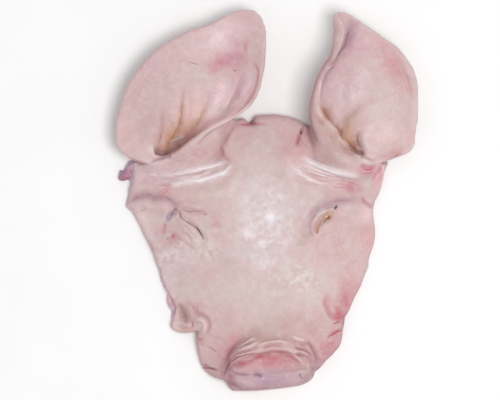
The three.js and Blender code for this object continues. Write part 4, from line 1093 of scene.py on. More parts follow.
@dataclass(frozen=True)
class FaceSlab:
    """The skin of the face as rings from a line down its middle to its cut edge.

    Its top is a dome that is flat in the middle and falls to the cheeks, with soft mounds.
    """

    spine: Points = ((-3, 30), (0, -112))
    edge: Points = (
        (-20.4, 83), (-18.6, 79.4), (-16.4, 76), (-14, 75.2), (-12.8, 77), (-12.4, 85.4), (-8, 86.2),
        (8, 86), (20, 85), (30, 82.4), (38, 78.5),
        (62, 62), (90, 46), (113, 37.4),
        (119.6, 27), (114, 6), (108, -6), (109, -25), (109.6, -40), (103.4, -60),
        (99.6, -75.5), (92, -92.5), (84, -110), (78, -121),
        (77, -134), (74, -147), (60, -162), (50, -172),
        (36, -176), (0, -180), (-34, -180.5),
        (-50.6, -178), (-63, -169.4), (-68.6, -154), (-70, -140), (-69, -131),
        (-78, -133.6), (-87, -132.4), (-95.4, -126.4), (-92, -112), (-95, -99), (-102, -84),
        (-108, -67), (-117, -46), (-127, -25), (-134, -12),
        (-141, -6), (-138, 8), (-134, 26), (-133, 38),
        (-112, 41), (-82, 48), (-50, 64), (-29, 80), (-22, 83),
    )
    midline: Points = ((-192, 28), (-150, 31), (-105, 31), (-50, 34), (0, 33), (50, 26), (90, 14))
    half_width: Points = (
        (-175, 62), (-140, 78), (-110, 92), (-60, 108), (-20, 121), (20, 130), (60, 112), (90, 74),
    )
    middle: Points = ((-150, 3), (-110, -5), (-60, -4), (-20, -9), (20, -8), (60, 4))
    power: float = 2.3
    edge_height: float = 9.0
    edge_round: float = 3.8
    mounds: tuple[Mound, ...] = (
        Mound(-82, 8, 34, 11, 6), Mound(66, 8, 30, 10, 5), Mound(-84, -32, 15, 12, 4.5),
        Mound(70, -30, 14, 11, 4), Mound(72, -96, 12, 20, 4), Mound(-84, -117, 8, 9, -4.5),
        Mound(22, 46, 14, 22, 4),
    )
    edge_points: int = 840
    ragged: float = 0.55  # how far the knife strayed

    def height(self, x: Array, y: Array, inside: Array | float = np.inf) -> Array:
        """Height of the skin's top at plan places.

        It falls from the midline's height to the edge's as 1 less the power of the share of the
        half width, and is rounded over the last millimetres inside the edge.

        Args:
            x: places to the right.
            y: places towards the ears.
            inside: how far each place is inside the cut edge.

        Returns:
            Heights over the table.
        """
        out = np.abs(x - smooth_table(self.middle, y)) / smooth_table(self.half_width, y)
        crown = smooth_table(self.midline, y) - self.edge_height
        dome = self.edge_height + crown * (1 - np.clip(out, 0, 1) ** self.power)
        rounding = np.sqrt(1 - (1 - np.clip(inside / self.edge_round, 0, 1)) ** 2)
        relief = np.zeros_like(dome)
        for m in self.mounds:
            relief += m.height * bell(np.hypot((x - m.x) / m.spread_x, (y - m.y) / m.spread_y))
        inner = smoothstep(-2, 8, inside * np.ones_like(dome))
        return np.maximum(dome * (0.5 + 0.5 * rounding) + relief * inner, 2.5)

    def spokes(self, count: int) -> tuple[Array, Array, Array]:
        """Count points of the cut edge, the nearest point of the spine to each, and their distance."""
        tip = evenly(self.edge, count)
        a, b = np.array(self.spine, float)
        t = np.clip(((tip - a) @ (b - a)) / ((b - a) @ (b - a)), 0, 1)
        root = a + t[:, None] * (b - a)
        return root, tip, np.linalg.norm(tip - root, axis=1)

    def surface(self, lining: "MeatLining") -> Surface:
        """The slab: over the top from the spine to the edge, and back underneath over the lining."""
        root, tip, reach = self.spokes(self.edge_points)
        flat = np.column_stack([tip, np.zeros(len(tip))])
        stray = lattice_noise(flat, 9.0, 3) + 0.6 * lattice_noise(flat, 3.6, 4)
        jagged = 1 + 1.2 * bell((tip[:, 0] + 96) / 22) * smoothstep(-52, -70, tip[:, 1])
        reach_out = reach + self.ragged * stray * jagged

        def ring(share: float, inset: float, height: Array | None = None) -> Array:
            """Points at a share of every spoke, on the skin's top or at a height."""
            r = share * (reach_out - inset) / reach
            xy = root + (tip - root) * r[:, None]
            z = self.height(xy[:, 0], xy[:, 1], reach_out - r * reach) if height is None else height
            return np.column_stack([xy, np.broadcast_to(z, len(xy))])

        rings = [ring(share, 11.0) for share in np.linspace(0, 1, 84)]
        rings += [ring(1.0, inset) for inset in 11.0 * (1 - np.linspace(0, 1, 14)[1:]) ** 1.5]
        rings += [ring(1.0, 0.25, z) for z in (3.4, 2.2, 1.0)]
        rings += [ring(1.0, 0.9, 0.4), ring(1.0, 2.0, 0.3), ring(1.0, lining.inset - 1.0, 0.3)]
        for share in np.linspace(1, 0, 26):
            rings.append(ring(share, lining.inset, lining.top(share) + 0.8))
        return loft(np.array(rings), Closing.LINE, Closing.LINE)


@dataclass(frozen=True)
class Snout:
    """The snout as arched sections, from the bridge over the hood and the disc to its lower edge.

    Each section is the upper half of a rounded box. Columns: x, y, how far its sides run
    behind its middle, height of its top, height of its base, half width.
    """

    sections: Points = (
        (0, -122, -16, 26, 0, 26), (0, -132, -12, 33, 0, 36), (0, -141, -9, 40, 0, 42),
        (0, -148, -9, 44.5, 0, 44.5), (0, -151, -11, 44.5, 0, 45), (0, -152.6, -12, 41, 0, 45.5),
        (0, -156, -12, 43, 0, 46), (0, -162, -9, 43, 0, 46.5), (0, -168, -3, 40, 0, 47),
        (0, -172, 1, 36.5, 0, 47), (0, -174.5, 3.5, 32.5, 0, 46.6), (0, -177, 4.5, 31.5, 0, 46.2),
        (0, -181, 5, 28.5, 0, 45), (0, -185.5, 4, 23.5, 0, 43.5), (-1, -188.3, 2.5, 17.5, 0, 40),
        (-3, -189.8, 1.2, 12.5, 1.5, 35), (-4, -190, 0.3, 8.5, 4, 28),
    )
    x: float = 2.6
    y: float = -159.6
    turn: float = 5.6
    squareness: float = 2.9
    sides: int = 150

    def surface(self) -> Surface:
        """The arched sections joined: across is the rounded cosine and up the rounded sine."""
        rows = spline(self.sections, np.linspace(0, 1, 150))
        rows[:, 4] = np.maximum(rows[:, 4], 0.5)
        angle = np.linspace(0, np.pi, self.sides + 1)
        power = 2 / self.squareness
        across = np.append(np.sign(np.cos(angle)) * np.abs(np.cos(angle)) ** power, [-0.4, 0.4])
        up = np.append(np.abs(np.sin(angle)) ** power, [0, 0])
        x, y, bow, top, base, half = (rows[:, k, None] for k in range(6))
        local = np.stack(
            [x + half * across, y - self.y + bow * across**2, base + (top - base) * up], axis=2
        )
        c, s = np.cos(np.radians(self.turn)), np.sin(np.radians(self.turn))
        return loft(local @ np.array([[c, s, 0], [-s, c, 0], [0, 0, 1]]) + np.array([self.x, self.y, 0]))


@dataclass(frozen=True)
class Ear:
    """An ear: a sheet from its inner rim over a rolled wall and the floor of a bowl to its outer rim.

    The rims run from the ear's notch to its tip as (x, y, height). side is 1 for the viewer's left.
    By the notch the outer side flares: it starts to rise sooner by flare_early, and rises evenly.
    """

    zone: Zone
    side: int
    inner_rim: Points
    outer_rim: Points
    floor: tuple[float, ...]
    wall_base: float
    wall_ends: tuple[float, float]
    wall_tip: float
    tip_starts: tuple[float, float]
    wall_always: float
    wall_share: float = 0.34
    rim_start: float = 0.42
    flare_end: float = 0.45
    flare_early: float = 0.14
    flare_even: float = 0.95
    root_thickness: float = 9.0
    tip_thickness: float = 5.5
    rim_share: float = 0.7
    thinning: float = 0.5
    rows: int = 170
    columns: int = 130

    def floor_at(self, s: Array) -> Array:
        """Height of the bowl's floor at shares of the ear's length, eased between even steps."""
        place = np.clip(s, 0, 1) * (len(self.floor) - 1)
        i = np.minimum(place.astype(int), len(self.floor) - 2)
        f = place - i
        values = np.array(self.floor, float)
        return values[i] + (values[i + 1] - values[i]) * (0.5 * f + 0.5 * smoothstep(0, 1, f))

    def sheet(self) -> Array:
        """Middle surface of the ear, a grid of its rows from notch to tip by its columns across.

        Across a row the plan place goes from the inner to the outer rim as the 1.6th power of the
        column, pushed out by a half sine over the wall. The height drops by a half cosine over the
        wall to the floor, and rises again as a square to the outer rim, or evenly by the notch.
        """
        s = np.linspace(0, 1, self.rows)
        t = np.linspace(0, 1, self.columns)
        a, b = spline(self.inner_rim, s), spline(self.outer_rim, s)
        run = spline_run(self.inner_rim, s)
        away = np.column_stack([run[:, 1], -run[:, 0]]) * self.side
        away /= np.linalg.norm(away, axis=1, keepdims=True)
        near_base = smoothstep(-0.04, 0.16, s) * (1 - smoothstep(*self.wall_ends, s))
        near_tip = smoothstep(*self.tip_starts, s)
        out = self.wall_always + self.wall_base * near_base + self.wall_tip * near_tip
        out = out * np.sqrt(1 - s**14)
        wall = np.clip(t / self.wall_share, 0, 1)
        roll = out[:, None] * np.sin(np.pi * wall)
        across = t**1.6
        xy = (
            a[:, None, :2]
            + (b - a)[:, None, :2] * across[None, :, None]
            + away[:, None, :] * roll[:, :, None]
        )
        floor = self.floor_at(s)[:, None]
        drop = (1 + np.cos(np.pi * wall)) / 2
        flare = 1 - smoothstep(0, self.flare_end, s)[:, None]
        start = self.rim_start - self.flare_early * flare
        rise = np.clip((t - start) / (1 - start), 0, 1) ** (2 - self.flare_even * flare)
        z = floor + (a[:, 2:3] - floor) * drop + (b[:, 2:3] - floor) * rise
        return np.concatenate([xy, z[:, :, None]], axis=2)

    def surface(self) -> Surface:
        """The sheet given its thickness along its normals, with rounded rims."""
        grid = self.sheet()
        s = np.linspace(0, 1, self.rows)[:, None]
        t = np.linspace(0, 1, self.columns)[None]
        belly = self.rim_share + (1 - self.rim_share) * np.sin(np.pi * t)
        thickness = self.root_thickness + (self.tip_thickness - self.root_thickness) * np.sqrt(s)
        half = (thickness * belly * (1 - self.thinning * s**10) / 2)[:, :, None]
        normal = np.cross(np.gradient(grid, axis=0), np.gradient(grid, axis=1)) * self.side
        normal /= np.maximum(np.linalg.norm(normal, axis=2, keepdims=True), 1e-9)
        normal[-1] = normal[-2]

        def rim(end: int, inner: int) -> Array:
            """A column of points beyond the sheet's end, which rounds its rim."""
            out = grid[:, end] - grid[:, inner]
            out /= np.maximum(np.linalg.norm(out, axis=1, keepdims=True), 1e-9)
            return (grid[:, end] + out * half[:, end] * 1.25)[:, None]

        top, under = grid + normal * half, grid - normal * half
        loops = np.concatenate([rim(0, 1), top, rim(-1, -2), under[:, ::-1]], axis=1)
        return loft(loops, Closing.STRIP, Closing.STRIP)

    def mouth(self) -> Array:
        """The bowl's mouth in plan: along the inner rim and back along the outer rim."""
        s = np.linspace(0, 1, 60)
        inner, outer = spline(self.inner_rim, s)[:, :2], spline(self.outer_rim, s)[:, :2]
        return np.vstack([inner, outer[::-1]])


@dataclass(frozen=True)
class EarRoot:
    """The slope of skin that falls from the front of an ear to the face.

    The crest runs as (x, y, height), and reach is how far the slope goes at even steps along it.
    """

    side: int
    crest: Points
    reach: tuple[float, ...]
    fullness: float = 0.75
    bowl_side: float = 5.0
    sunk: float = 8.0
    rows: int = 110
    slopes: int = 60

    def surface(self, face: FaceSlab) -> Surface:
        """Sections across the crest that fall to the face as a power of a quarter cosine."""
        s = np.linspace(0, 1, self.rows)
        top = spline(self.crest, s)
        run = spline_run(self.crest, s)
        away = np.column_stack([run[:, 1], -run[:, 0], 0 * s]) * self.side
        away /= np.linalg.norm(away, axis=1, keepdims=True)
        full = 0.25 + 0.75 * np.sqrt(np.clip(np.sin(np.pi * s), 0, 1))
        far = spline(np.array(self.reach, float)[:, None], s)[:, 0] * full
        end = top + away * far[:, None]
        foot = np.minimum(face.height(end[:, 0], end[:, 1]) - 0.6, top[:, 2])
        t = np.linspace(0, 1, self.slopes)
        slope = top[:, None] + away[:, None] * (far[:, None] * t)[:, :, None]
        fall = np.clip(np.cos(np.pi / 2 * t), 0, 1) ** self.fullness
        slope[:, :, 2] = foot[:, None] + (top[:, 2] - foot)[:, None] * fall
        low = np.maximum(foot - self.sunk, 3)[:, None]
        outer = np.column_stack([end[:, :2], low])[:, None]
        inner = np.column_stack([(top - away * self.bowl_side)[:, :2], low])[:, None]
        return loft(np.concatenate([slope, outer, inner], axis=1))


LEFT_EAR = Ear(
    Zone.LEFT_BOWL, 1,
    (
        (-94, 44, 38), (-84, 51, 48), (-70, 61, 54), (-54, 71.5, 57), (-33.5, 82.5, 57),
        (-14, 98, 52), (-4.8, 122, 46), (-1.6, 150, 38), (-2.6, 176, 31), (-13, 189.6, 28),
    ),
    (
        (-118, 37, 22), (-134.5, 42.5, 24), (-148, 57, 26), (-146.5, 81.5, 28), (-134.5, 116.5, 31),
        (-112, 145.5, 33), (-80.5, 165.5, 33), (-53, 175.8, 31), (-36, 185.5, 29), (-22.5, 191, 28),
    ),
    (8, 14, 22, 28, 31, 30, 28), 16, (0.1, 0.34), 0, (0.9, 1.0), 1.5, wall_share=0.56,
)
RIGHT_EAR = Ear(
    Zone.RIGHT_BOWL, -1,
    (
        (94, 44, 38), (83, 50, 47), (75, 62, 52), (64, 75, 56), (54, 87, 58),
        (52, 105, 57), (57, 125, 55), (70, 144, 50), (78, 167, 43), (71, 187.5, 37),
    ),
    (
        (106, 37, 22), (126, 42, 24), (144, 51, 26), (147.6, 70, 28), (151, 94, 30),
        (147.4, 124.6, 32), (132.4, 149, 33), (112, 164.4, 33), (94.6, 177, 34), (78, 188, 36),
    ),
    (8, 12, 19, 26, 30, 31, 34), 18, (0.24, 0.7), 6, (0.72, 0.9), 5, wall_share=0.38,
)
LEFT_ROOT = EarRoot(
    1,
    (
        (-128, 34, 13), (-112, 38, 28), (-96, 42, 38), (-83, 49, 45), (-68, 60, 51), (-50, 72, 51),
        (-31, 82, 22),
    ),
    (12, 22, 28, 33, 33, 26, 14),
)
RIGHT_ROOT = EarRoot(
    -1,
    (
        (122, 34, 13), (109, 38, 27), (96, 42, 38), (84, 49, 45), (75, 60, 51), (63, 74, 52), (48, 84, 22),
    ),
    (12, 22, 30, 34, 36, 31, 15),
)

# ---------------------------------------------------------------- the skin


@dataclass
class PorkSkin:
    """The skin with its ears and snout: lofts made one, relaxed where they meet, then worked.

    Attributes:
        face: the slab of the face.
        snout: the snout.
        ears: both ears.
        roots: the slopes below them.
        lines: folds, furrows and streaks.
        hairlines: lines that the finish draws.
        strands: bands of drawn skin.
        patches: swellings and blushes.
        grain: millimetres between points of the mesh.
        layers: sets of hairlines that don't come near each other.
        most: triangles that the finished piece may have.
    """

    face: FaceSlab = FaceSlab()
    snout: Snout = Snout()
    ears: tuple[Ear, ...] = (LEFT_EAR, RIGHT_EAR)
    roots: tuple[EarRoot, ...] = (LEFT_ROOT, RIGHT_ROOT)
    lines: tuple[Line, ...] = (
        UNDER_EAR_LINES + BROW_LINES + EYE_LINES + SNOUT_LINES + EDGE_LINES
        + LEFT_BOWL_LINES + RIGHT_BOWL_LINES
    )
    hairlines: tuple[Hairline, ...] = FACE_HAIRLINES + BOWL_HAIRLINES
    strands: tuple[StrandBand, ...] = STRAND_BANDS
    patches: tuple[Patch, ...] = FACE_PATCHES + BOWL_PATCHES
    grain: float = 1.05
    layers: int = 4
    most: int = 196_000
    piece: Piece | None = field(default=None, init=False)

    def zones(self, points: Array, normals: Array) -> dict[Zone, Array]:
        """How much each point belongs to each zone, from 0 to 1.

        A bowl's skin faces up inside the bowl's mouth. All other skin that faces up is the face's.
        """
        up = smoothstep(0.02, 0.3, normals[:, 2])
        found = {}
        taken = np.zeros(len(points))
        for ear in self.ears:
            share = smoothstep(-0.8, 0.8, inside_by(points[:, :2], ear.mouth())) * up
            found[ear.zone] = share
            taken = np.maximum(taken, share)
        found[Zone.FACE] = up * (1 - taken)
        return found

    def junction(self, points: Array) -> Array:
        """How much each point is relaxed: most round the roots and the snout's bridge."""
        xy = points[:, :2]
        pull = np.full(len(points), 0.04)
        for ear, root in zip(self.ears, self.roots):
            gap = np.full(len(xy), np.inf)
            for place in spline(root.crest, np.linspace(0, 1, 30))[:, :2]:
                gap = np.minimum(gap, np.hypot(*(xy - place).T))
            inside = inside_by(xy, ear.mouth())
            pull = np.maximum(pull, 0.6 * smoothstep(52, 30, gap) * smoothstep(-3.5, -9, inside))
        bridge = bell(np.hypot((xy[:, 0] - 2) / 40, (xy[:, 1] + 131) / 13))
        return np.maximum(pull, 0.5 * bridge)

    def build(self, lining: "MeatLining") -> None:
        """Makes the mesh: the lofts, one skin, the relaxed junctions and the marks."""
        parts = [self.face.surface(lining), self.snout.surface()]
        parts += [ear.surface() for ear in self.ears]
        parts += [root.surface(self.face) for root in self.roots]
        self.piece = new_piece("pork_skin", Surface.joined(parts))
        remesh(self.piece, self.grain)
        mesh = self.piece.data
        points = points_of(mesh)
        LOG.info("one skin: %d points", len(points))
        points = relax(mesh, points, np.full(len(points), 0.5), 3)
        points = relax(mesh, points, self.junction(points), 75)
        set_points(mesh, points)
        self.carve(points, normals_of(mesh))
        self.thin_out()
        self.piece.data.shade_smooth()

    def carve(self, points: Array, normals: Array) -> None:
        """Moves the points along their normals by every mark of their zone, and keeps the box."""
        zones = self.zones(points, normals)
        lift = np.zeros(len(points))
        strayed = wandered(points, *HAND)
        for line in self.lines:
            if line.rise:
                near, rise = line.lift(strayed)
                lift[near] += rise * zones[line.zone][near]
        for patch in self.patches:
            if patch.rise:
                near, full = patch.weight(strayed)
                lift[near] += patch.rise * full * zones[patch.zone][near]
        up = np.clip(normals[:, 2], 0, 1)
        skin = 0.34 * lattice_noise(points, 11.0, 11) + 0.16 * lattice_noise(points, 4.2, 12)
        skin += 0.07 * lattice_noise(points, 2.1, 13)
        lift += skin * (0.35 + 0.65 * up)
        self.keep_in_box(points + normals * lift[:, None])

    def keep_in_box(self, points: Array) -> None:
        """Puts the points on the mesh, none under the table's top or outside the solids' box."""
        low, high = PLAN_MIDDLE - HALF_BOX, PLAN_MIDDLE + HALF_BOX
        low[2] = 0.2
        set_points(self.piece.data, np.clip(points, low, high))

    def thin_out(self) -> None:
        """Takes triangles from the underside until the piece has no more than it may."""
        mesh = self.piece.data
        low = 1 - smoothstep(-0.6, -0.1, normals_of(mesh)[:, 2])
        group = self.piece.vertex_groups.new(name="underside")
        for weight in (0.0, 0.5, 1.0):
            chosen = np.flatnonzero(np.abs(low - weight) <= 0.25)
            group.add(chosen.tolist(), weight, "REPLACE")
        count = (len(mesh.polygons[0].vertices) - 2) * len(mesh.polygons)
        if count > self.most:
            thin = self.piece.modifiers.new("thin out", "DECIMATE")
            thin.decimate_type = "COLLAPSE"
            thin.ratio = self.most / count
            thin.vertex_group = group.name
            thin.vertex_group_factor = 30.0
            apply_modifiers(self.piece)
            self.keep_in_box(points_of(self.piece.data))
        self.piece.vertex_groups.clear()
        LOG.info("thinned out from %d to %d faces", count, len(self.piece.data.polygons))

    def paint(self) -> None:
        """Writes what the skin's finish reads from each point: its tone, traits and lines."""
        mesh = self.piece.data
        points, normals = points_of(mesh), normals_of(mesh)
        zones = self.zones(points, normals)
        tone = self.ground(points, normals)
        ragged = wandered(points, 1.5, 8.0, 61)
        strayed = wandered(points, *HAND)
        uneven = 1 + 0.35 * lattice_noise(points, 6.5, 62) + 0.2 * lattice_noise(points, 2.8, 63)
        for patch in self.patches:
            if patch.colour is not None:
                small = max(patch.half_long, patch.half_broad) < SMALL_PATCH
                near, full = patch.weight(strayed if small else ragged)
                share = np.clip(patch.strength * full * (1 if small else uneven[near]), 0, 1)
                tone[near] = mix(tone[near], linear(patch.colour), share * zones[patch.zone][near])
        tone = self.hollows(mesh, points, normals, tone)
        for line in self.lines:
            if line.colour is not None and line.strength:
                near, share = line.shade(strayed)
                share = np.clip(share * uneven[near], 0, 1) * zones[line.zone][near]
                tone[near] = mix(tone[near], linear(line.colour), share)
        write_colours(mesh, "skin_tone", tone * WARMTH / TABLE_GLOW)
        self.write_traits(mesh, points, zones, normals)
        self.write_hairlines(mesh, strayed, zones, uneven)
        self.write_strands(mesh, strayed, zones)

    def ground(self, points: Array, normals: Array) -> Array:
        """The first coat: pale tan-pink skin, with painted shade that darkens and pinkens its steep sides,
        and cut fat at the edge.
        """
        pale, pink, grey = linear("d6c7c1"), linear("d8b8b7"), linear("cbbab8")
        cloud = 0.5 + 0.5 * lattice_noise(points, 24.0, 21) + 0.3 * lattice_noise(points, 9.0, 22)
        tone = mix(pale[None], pink[None], np.clip(cloud, 0, 1))
        haze = smoothstep(0.1, 0.8, lattice_noise(points, 17.0, 24) + 0.4 * lattice_noise(points, 5.0, 25))
        tone = mix(tone, grey, 0.32 * haze)
        # painted shade: the steeper the skin, the more it takes the dark pink, as sides turned from the
        # overhead light are darker
        side = 1 - smoothstep(0.2, 0.9, np.abs(normals[:, 2]))
        tone = mix(tone, linear("b67e86"), 0.65 * side)
        cut = smoothstep(0.45, 0.1, normals[:, 2]) * smoothstep(9.0, 6.0, points[:, 2])
        fat = 0.5 + 0.5 * lattice_noise(points, 5.0, 23)
        tone = mix(tone, mix(linear("dec4c4")[None], linear("cc989c")[None], fat), cut)
        return tone

    def hollows(self, mesh: Mesh, points: Array, normals: Array, tone: Array) -> Array:
        """Darkens and reddens the colour in hollows, which is painted shade, and pales it on ridges as
        drawn skin does.

        The depth of a hollow is how far the relaxed surface stands above it.
        """
        for rounds, gain, most in ((4, 0.8, 0.3), (28, 0.18, 0.3)):
            calm = relax(mesh, points, np.full(len(points), 0.5), rounds)
            depth = ((calm - points) * normals).sum(1)
            # painted shade, darker and redder the deeper the hollow
            tone = mix(tone, tone * np.array([0.80, 0.62, 0.63]), np.clip(depth * gain, 0, most))
            tone = mix(tone, linear("eee2e2"), np.clip(-depth * gain * 0.5, 0, most * 0.4))
        return tone

    def write_traits(
        self, mesh: Mesh, points: Array, zones: dict[Zone, Array], normals: Array
    ) -> None:
        """Stores how much each point takes the painted white glints, how veined it is, and how much it is
        cut fat.
        """
        trait = np.zeros((len(points), 3))
        ragged = wandered(points, 3.0, 14.0, 71)
        for column, patches in ((0, PAINTED_GLINTS), (1, VEINED)):
            for patch in patches:
                near, full = patch.weight(ragged)
                trait[near, column] = np.maximum(trait[near, column], full * zones[patch.zone][near])
        trait[:, 2] = smoothstep(0.45, 0.1, normals[:, 2]) * smoothstep(10.0, 7.0, points[:, 2])
        write_colours(mesh, "skin_traits", trait)

    def write_hairlines(
        self, mesh: Mesh, xy: Array, zones: dict[Zone, Array], uneven: Array
    ) -> None:
        """Stores beside which hairline each point is, in layers whose lines keep apart.

        A layer holds the signed distance, the fullness and the width, and the line's colour with
        its rise in the fourth number, moved up by a half so that it isn't negative.
        """
        place = np.zeros((self.layers, len(xy), 3))
        place[:, :, 2] = 1.0
        tone = np.full((self.layers, len(xy), 4), 0.5)
        reach = 2.6 * self.grain
        for line in self.hairlines:
            near, aside, full = line.beside(xy, reach)
            full = full * zones[line.zone][near]
            used = full > 0.01
            near, aside, full = near[used], aside[used], full[used]
            if not len(near):
                continue
            clashes = [(place[k, near, 1] > 0.01).sum() for k in range(self.layers)]
            k = int(np.argmin(clashes))
            nearer = (place[k, near, 1] < 0.01) | (np.abs(aside) < np.abs(place[k, near, 0]))
            near, aside, full = near[nearer], aside[nearer], full[nearer]
            place[k, near, 0] = aside
            place[k, near, 1] = np.clip(full * (0.4 + 0.6 * uneven[near]), 0, 1)
            place[k, near, 2] = line.width
            tone[k, near, :3] = linear(line.colour) / TABLE_GLOW
            tone[k, near, 3] = 0.5 + line.rise / 4
        for k in range(self.layers):
            write_vectors(mesh, f"hairline_place_{k}", place[k])
            write_colours(mesh, f"hairline_tone_{k}", tone[k])

    def write_strands(self, mesh: Mesh, xy: Array, zones: dict[Zone, Array]) -> None:
        """Stores how far along and aside of its strand band each point is, and how full."""
        run = np.zeros((len(xy), 3))
        for number, band in enumerate(self.strands):
            near, along, aside, full = band.run(xy)
            full = full * zones[Zone.FACE][near]
            fuller = full > run[near, 2]
            near = near[fuller]
            run[near] = np.column_stack([along[fuller] + 100.0 * number, aside[fuller], full[fuller]])
        write_vectors(mesh, "strand_run", run)


def write_colours(mesh: Mesh, name: str, rgb: Array) -> None:
    """Stores a colour on each point, with its fourth number where it has one."""
    if rgb.shape[1] == 3:
        rgb = np.column_stack([rgb, np.ones(len(rgb))])
    store = mesh.color_attributes.new(name, "FLOAT_COLOR", "POINT")
    store.data.foreach_set("color", np.clip(rgb, 0, 1).astype(np.float32).ravel())


def write_vectors(mesh: Mesh, name: str, rows: Array) -> None:
    """Stores three numbers on each point."""
    store = mesh.attributes.new(name, "FLOAT_VECTOR", "POINT")
    store.data.foreach_set("vector", rows.astype(np.float32).ravel())


# ---------------------------------------------------------------- the lining


@dataclass(frozen=True)
class Scrap:
    """A scrap of meat or fat that hangs out: a lumpy ball by its middle, radii, turn and colour."""

    x: float
    y: float
    z: float
    radii: tuple[float, float, float]
    turn: float
    colour: Colour


@dataclass
class MeatLining:
    """The meat and fat under the skin: a low lumpy pad, with scraps that reach past the skin."""

    face: FaceSlab = FaceSlab()
    inset: float = 14.0
    rim_height: float = 5.0
    middle_height: float = 15.0
    points: int = 460
    grain: float = 1.7
    scraps: tuple[Scrap, ...] = (
        Scrap(-128, 24, 3.5, (8.5, 15, 5), 0, "d8d0da"),
        Scrap(-136.4, 33.6, 4, (8, 4.2, 4.5), 60, "a692a8"),
        Scrap(-142, 24, 3.8, (7.4, 5.4, 4.8), 28, "a47084"),
        Scrap(-145.4, 27.4, 3, (2.6, 3.4, 3), 0, "94809c"),
        Scrap(-128.6, 2, 2.5, (9.6, 17, 4.5), 12, "d0c0ca"),
        Scrap(-96, -80, 2.5, (9.6, 14, 4), 22, "dcc2ca"),
        Scrap(-89, -101, 3, (11, 13, 4.8), 18, "d6b2c0"),
        Scrap(-86, -117, 2.5, (10, 8.6, 4.5), 0, "d0bac8"),
        Scrap(93.4, -66, 2.5, (9.8, 15, 4), -18, "daccd2"),
    )
    piece: Piece | None = field(default=None, init=False)

    def top(self, share: float) -> float:
        """Height of the pad's top at a share of the way from the spine to its rim."""
        if share >= 0.995:
            return 0.55 * self.rim_height
        return self.middle_height + (self.rim_height - self.middle_height) * share**2

    def build(self) -> None:
        """Makes the mesh: rings over and under, the scraps, one skin, and lumps and strands."""
        root, tip, reach = self.face.spokes(self.points)

        def ring(share: float, height: float) -> Array:
            """Points at a share of every spoke and at one height."""
            xy = root + (tip - root) * (share * (1 - self.inset / reach))[:, None]
            return np.column_stack([xy, np.full(len(xy), height)])

        rings = [ring(share, self.top(share)) for share in np.linspace(0, 1, 40)]
        rings += [ring(1.0, 1.6), ring(0.995, 0.5)]
        rings += [ring(share, 0.5) for share in np.linspace(0.99, 0, 30)]
        parts = [loft(np.array(rings), Closing.LINE, Closing.LINE)]
        parts += [ball((s.x, s.y, s.z), s.radii, s.turn) for s in self.scraps]
        whole = Surface.joined(parts)
        whole.points[:, 2] = np.maximum(whole.points[:, 2], 0.5)
        self.piece = new_piece("meat_and_fat", whole)
        remesh(self.piece, self.grain)
        mesh = self.piece.data
        points, normals = points_of(mesh), normals_of(mesh)
        strands = lattice_noise(points * (1.0, 0.35, 1.0), 3.2, 31)
        lumps = 0.9 * lattice_noise(points, 12.0, 32) + 0.5 * strands
        outside = np.clip(1.2 - normals[:, 2], 0.4, 1)
        moved = points + normals * (lumps * outside - 0.5)[:, None]
        moved[:, 2] = np.clip(moved[:, 2], 0.1, None)
        set_points(mesh, relax(mesh, moved, np.full(len(points), 0.4), 2))
        self.paint()
        mesh.shade_smooth()
        LOG.info("lining: %d faces", len(mesh.polygons))

    def paint(self) -> None:
        """Writes each point's colour: fat with islands and strands of meat, and the scraps' own."""
        mesh = self.piece.data
        points = points_of(mesh)
        fat, meat, deep = linear("debeb8"), linear("a85c60"), linear("78343e")
        island = lattice_noise(points, 30.0, 41) + 0.5 * lattice_noise(points, 13.0, 42)
        grain = lattice_noise(points * (1.0, 0.3, 1.0), 3.0, 43)
        share = smoothstep(-0.15, 0.25, island + 0.25 * grain)
        tone = mix(fat[None], meat[None], share)
        tone = mix(tone, deep, 0.6 * smoothstep(0.3, 0.9, island) * (0.6 + 0.4 * grain))
        speck = lattice_noise(points, 4.2, 44)
        for scrap in self.scraps:
            angle = np.radians(scrap.turn)
            dx, dy = points[:, 0] - scrap.x, points[:, 1] - scrap.y
            along = (dx * np.cos(angle) + dy * np.sin(angle)) / (scrap.radii[0] + 1)
            across = (dy * np.cos(angle) - dx * np.sin(angle)) / (scrap.radii[1] + 1)
            here = smoothstep(1.25, 0.9, np.hypot(along, across))
            own = linear(scrap.colour)[None] * (1.12 + 0.25 * speck)[:, None]
            tone = mix(tone, own, here)
        write_colours(mesh, "meat_tone", tone / TABLE_GLOW)


# ---------------------------------------------------------------- finishes


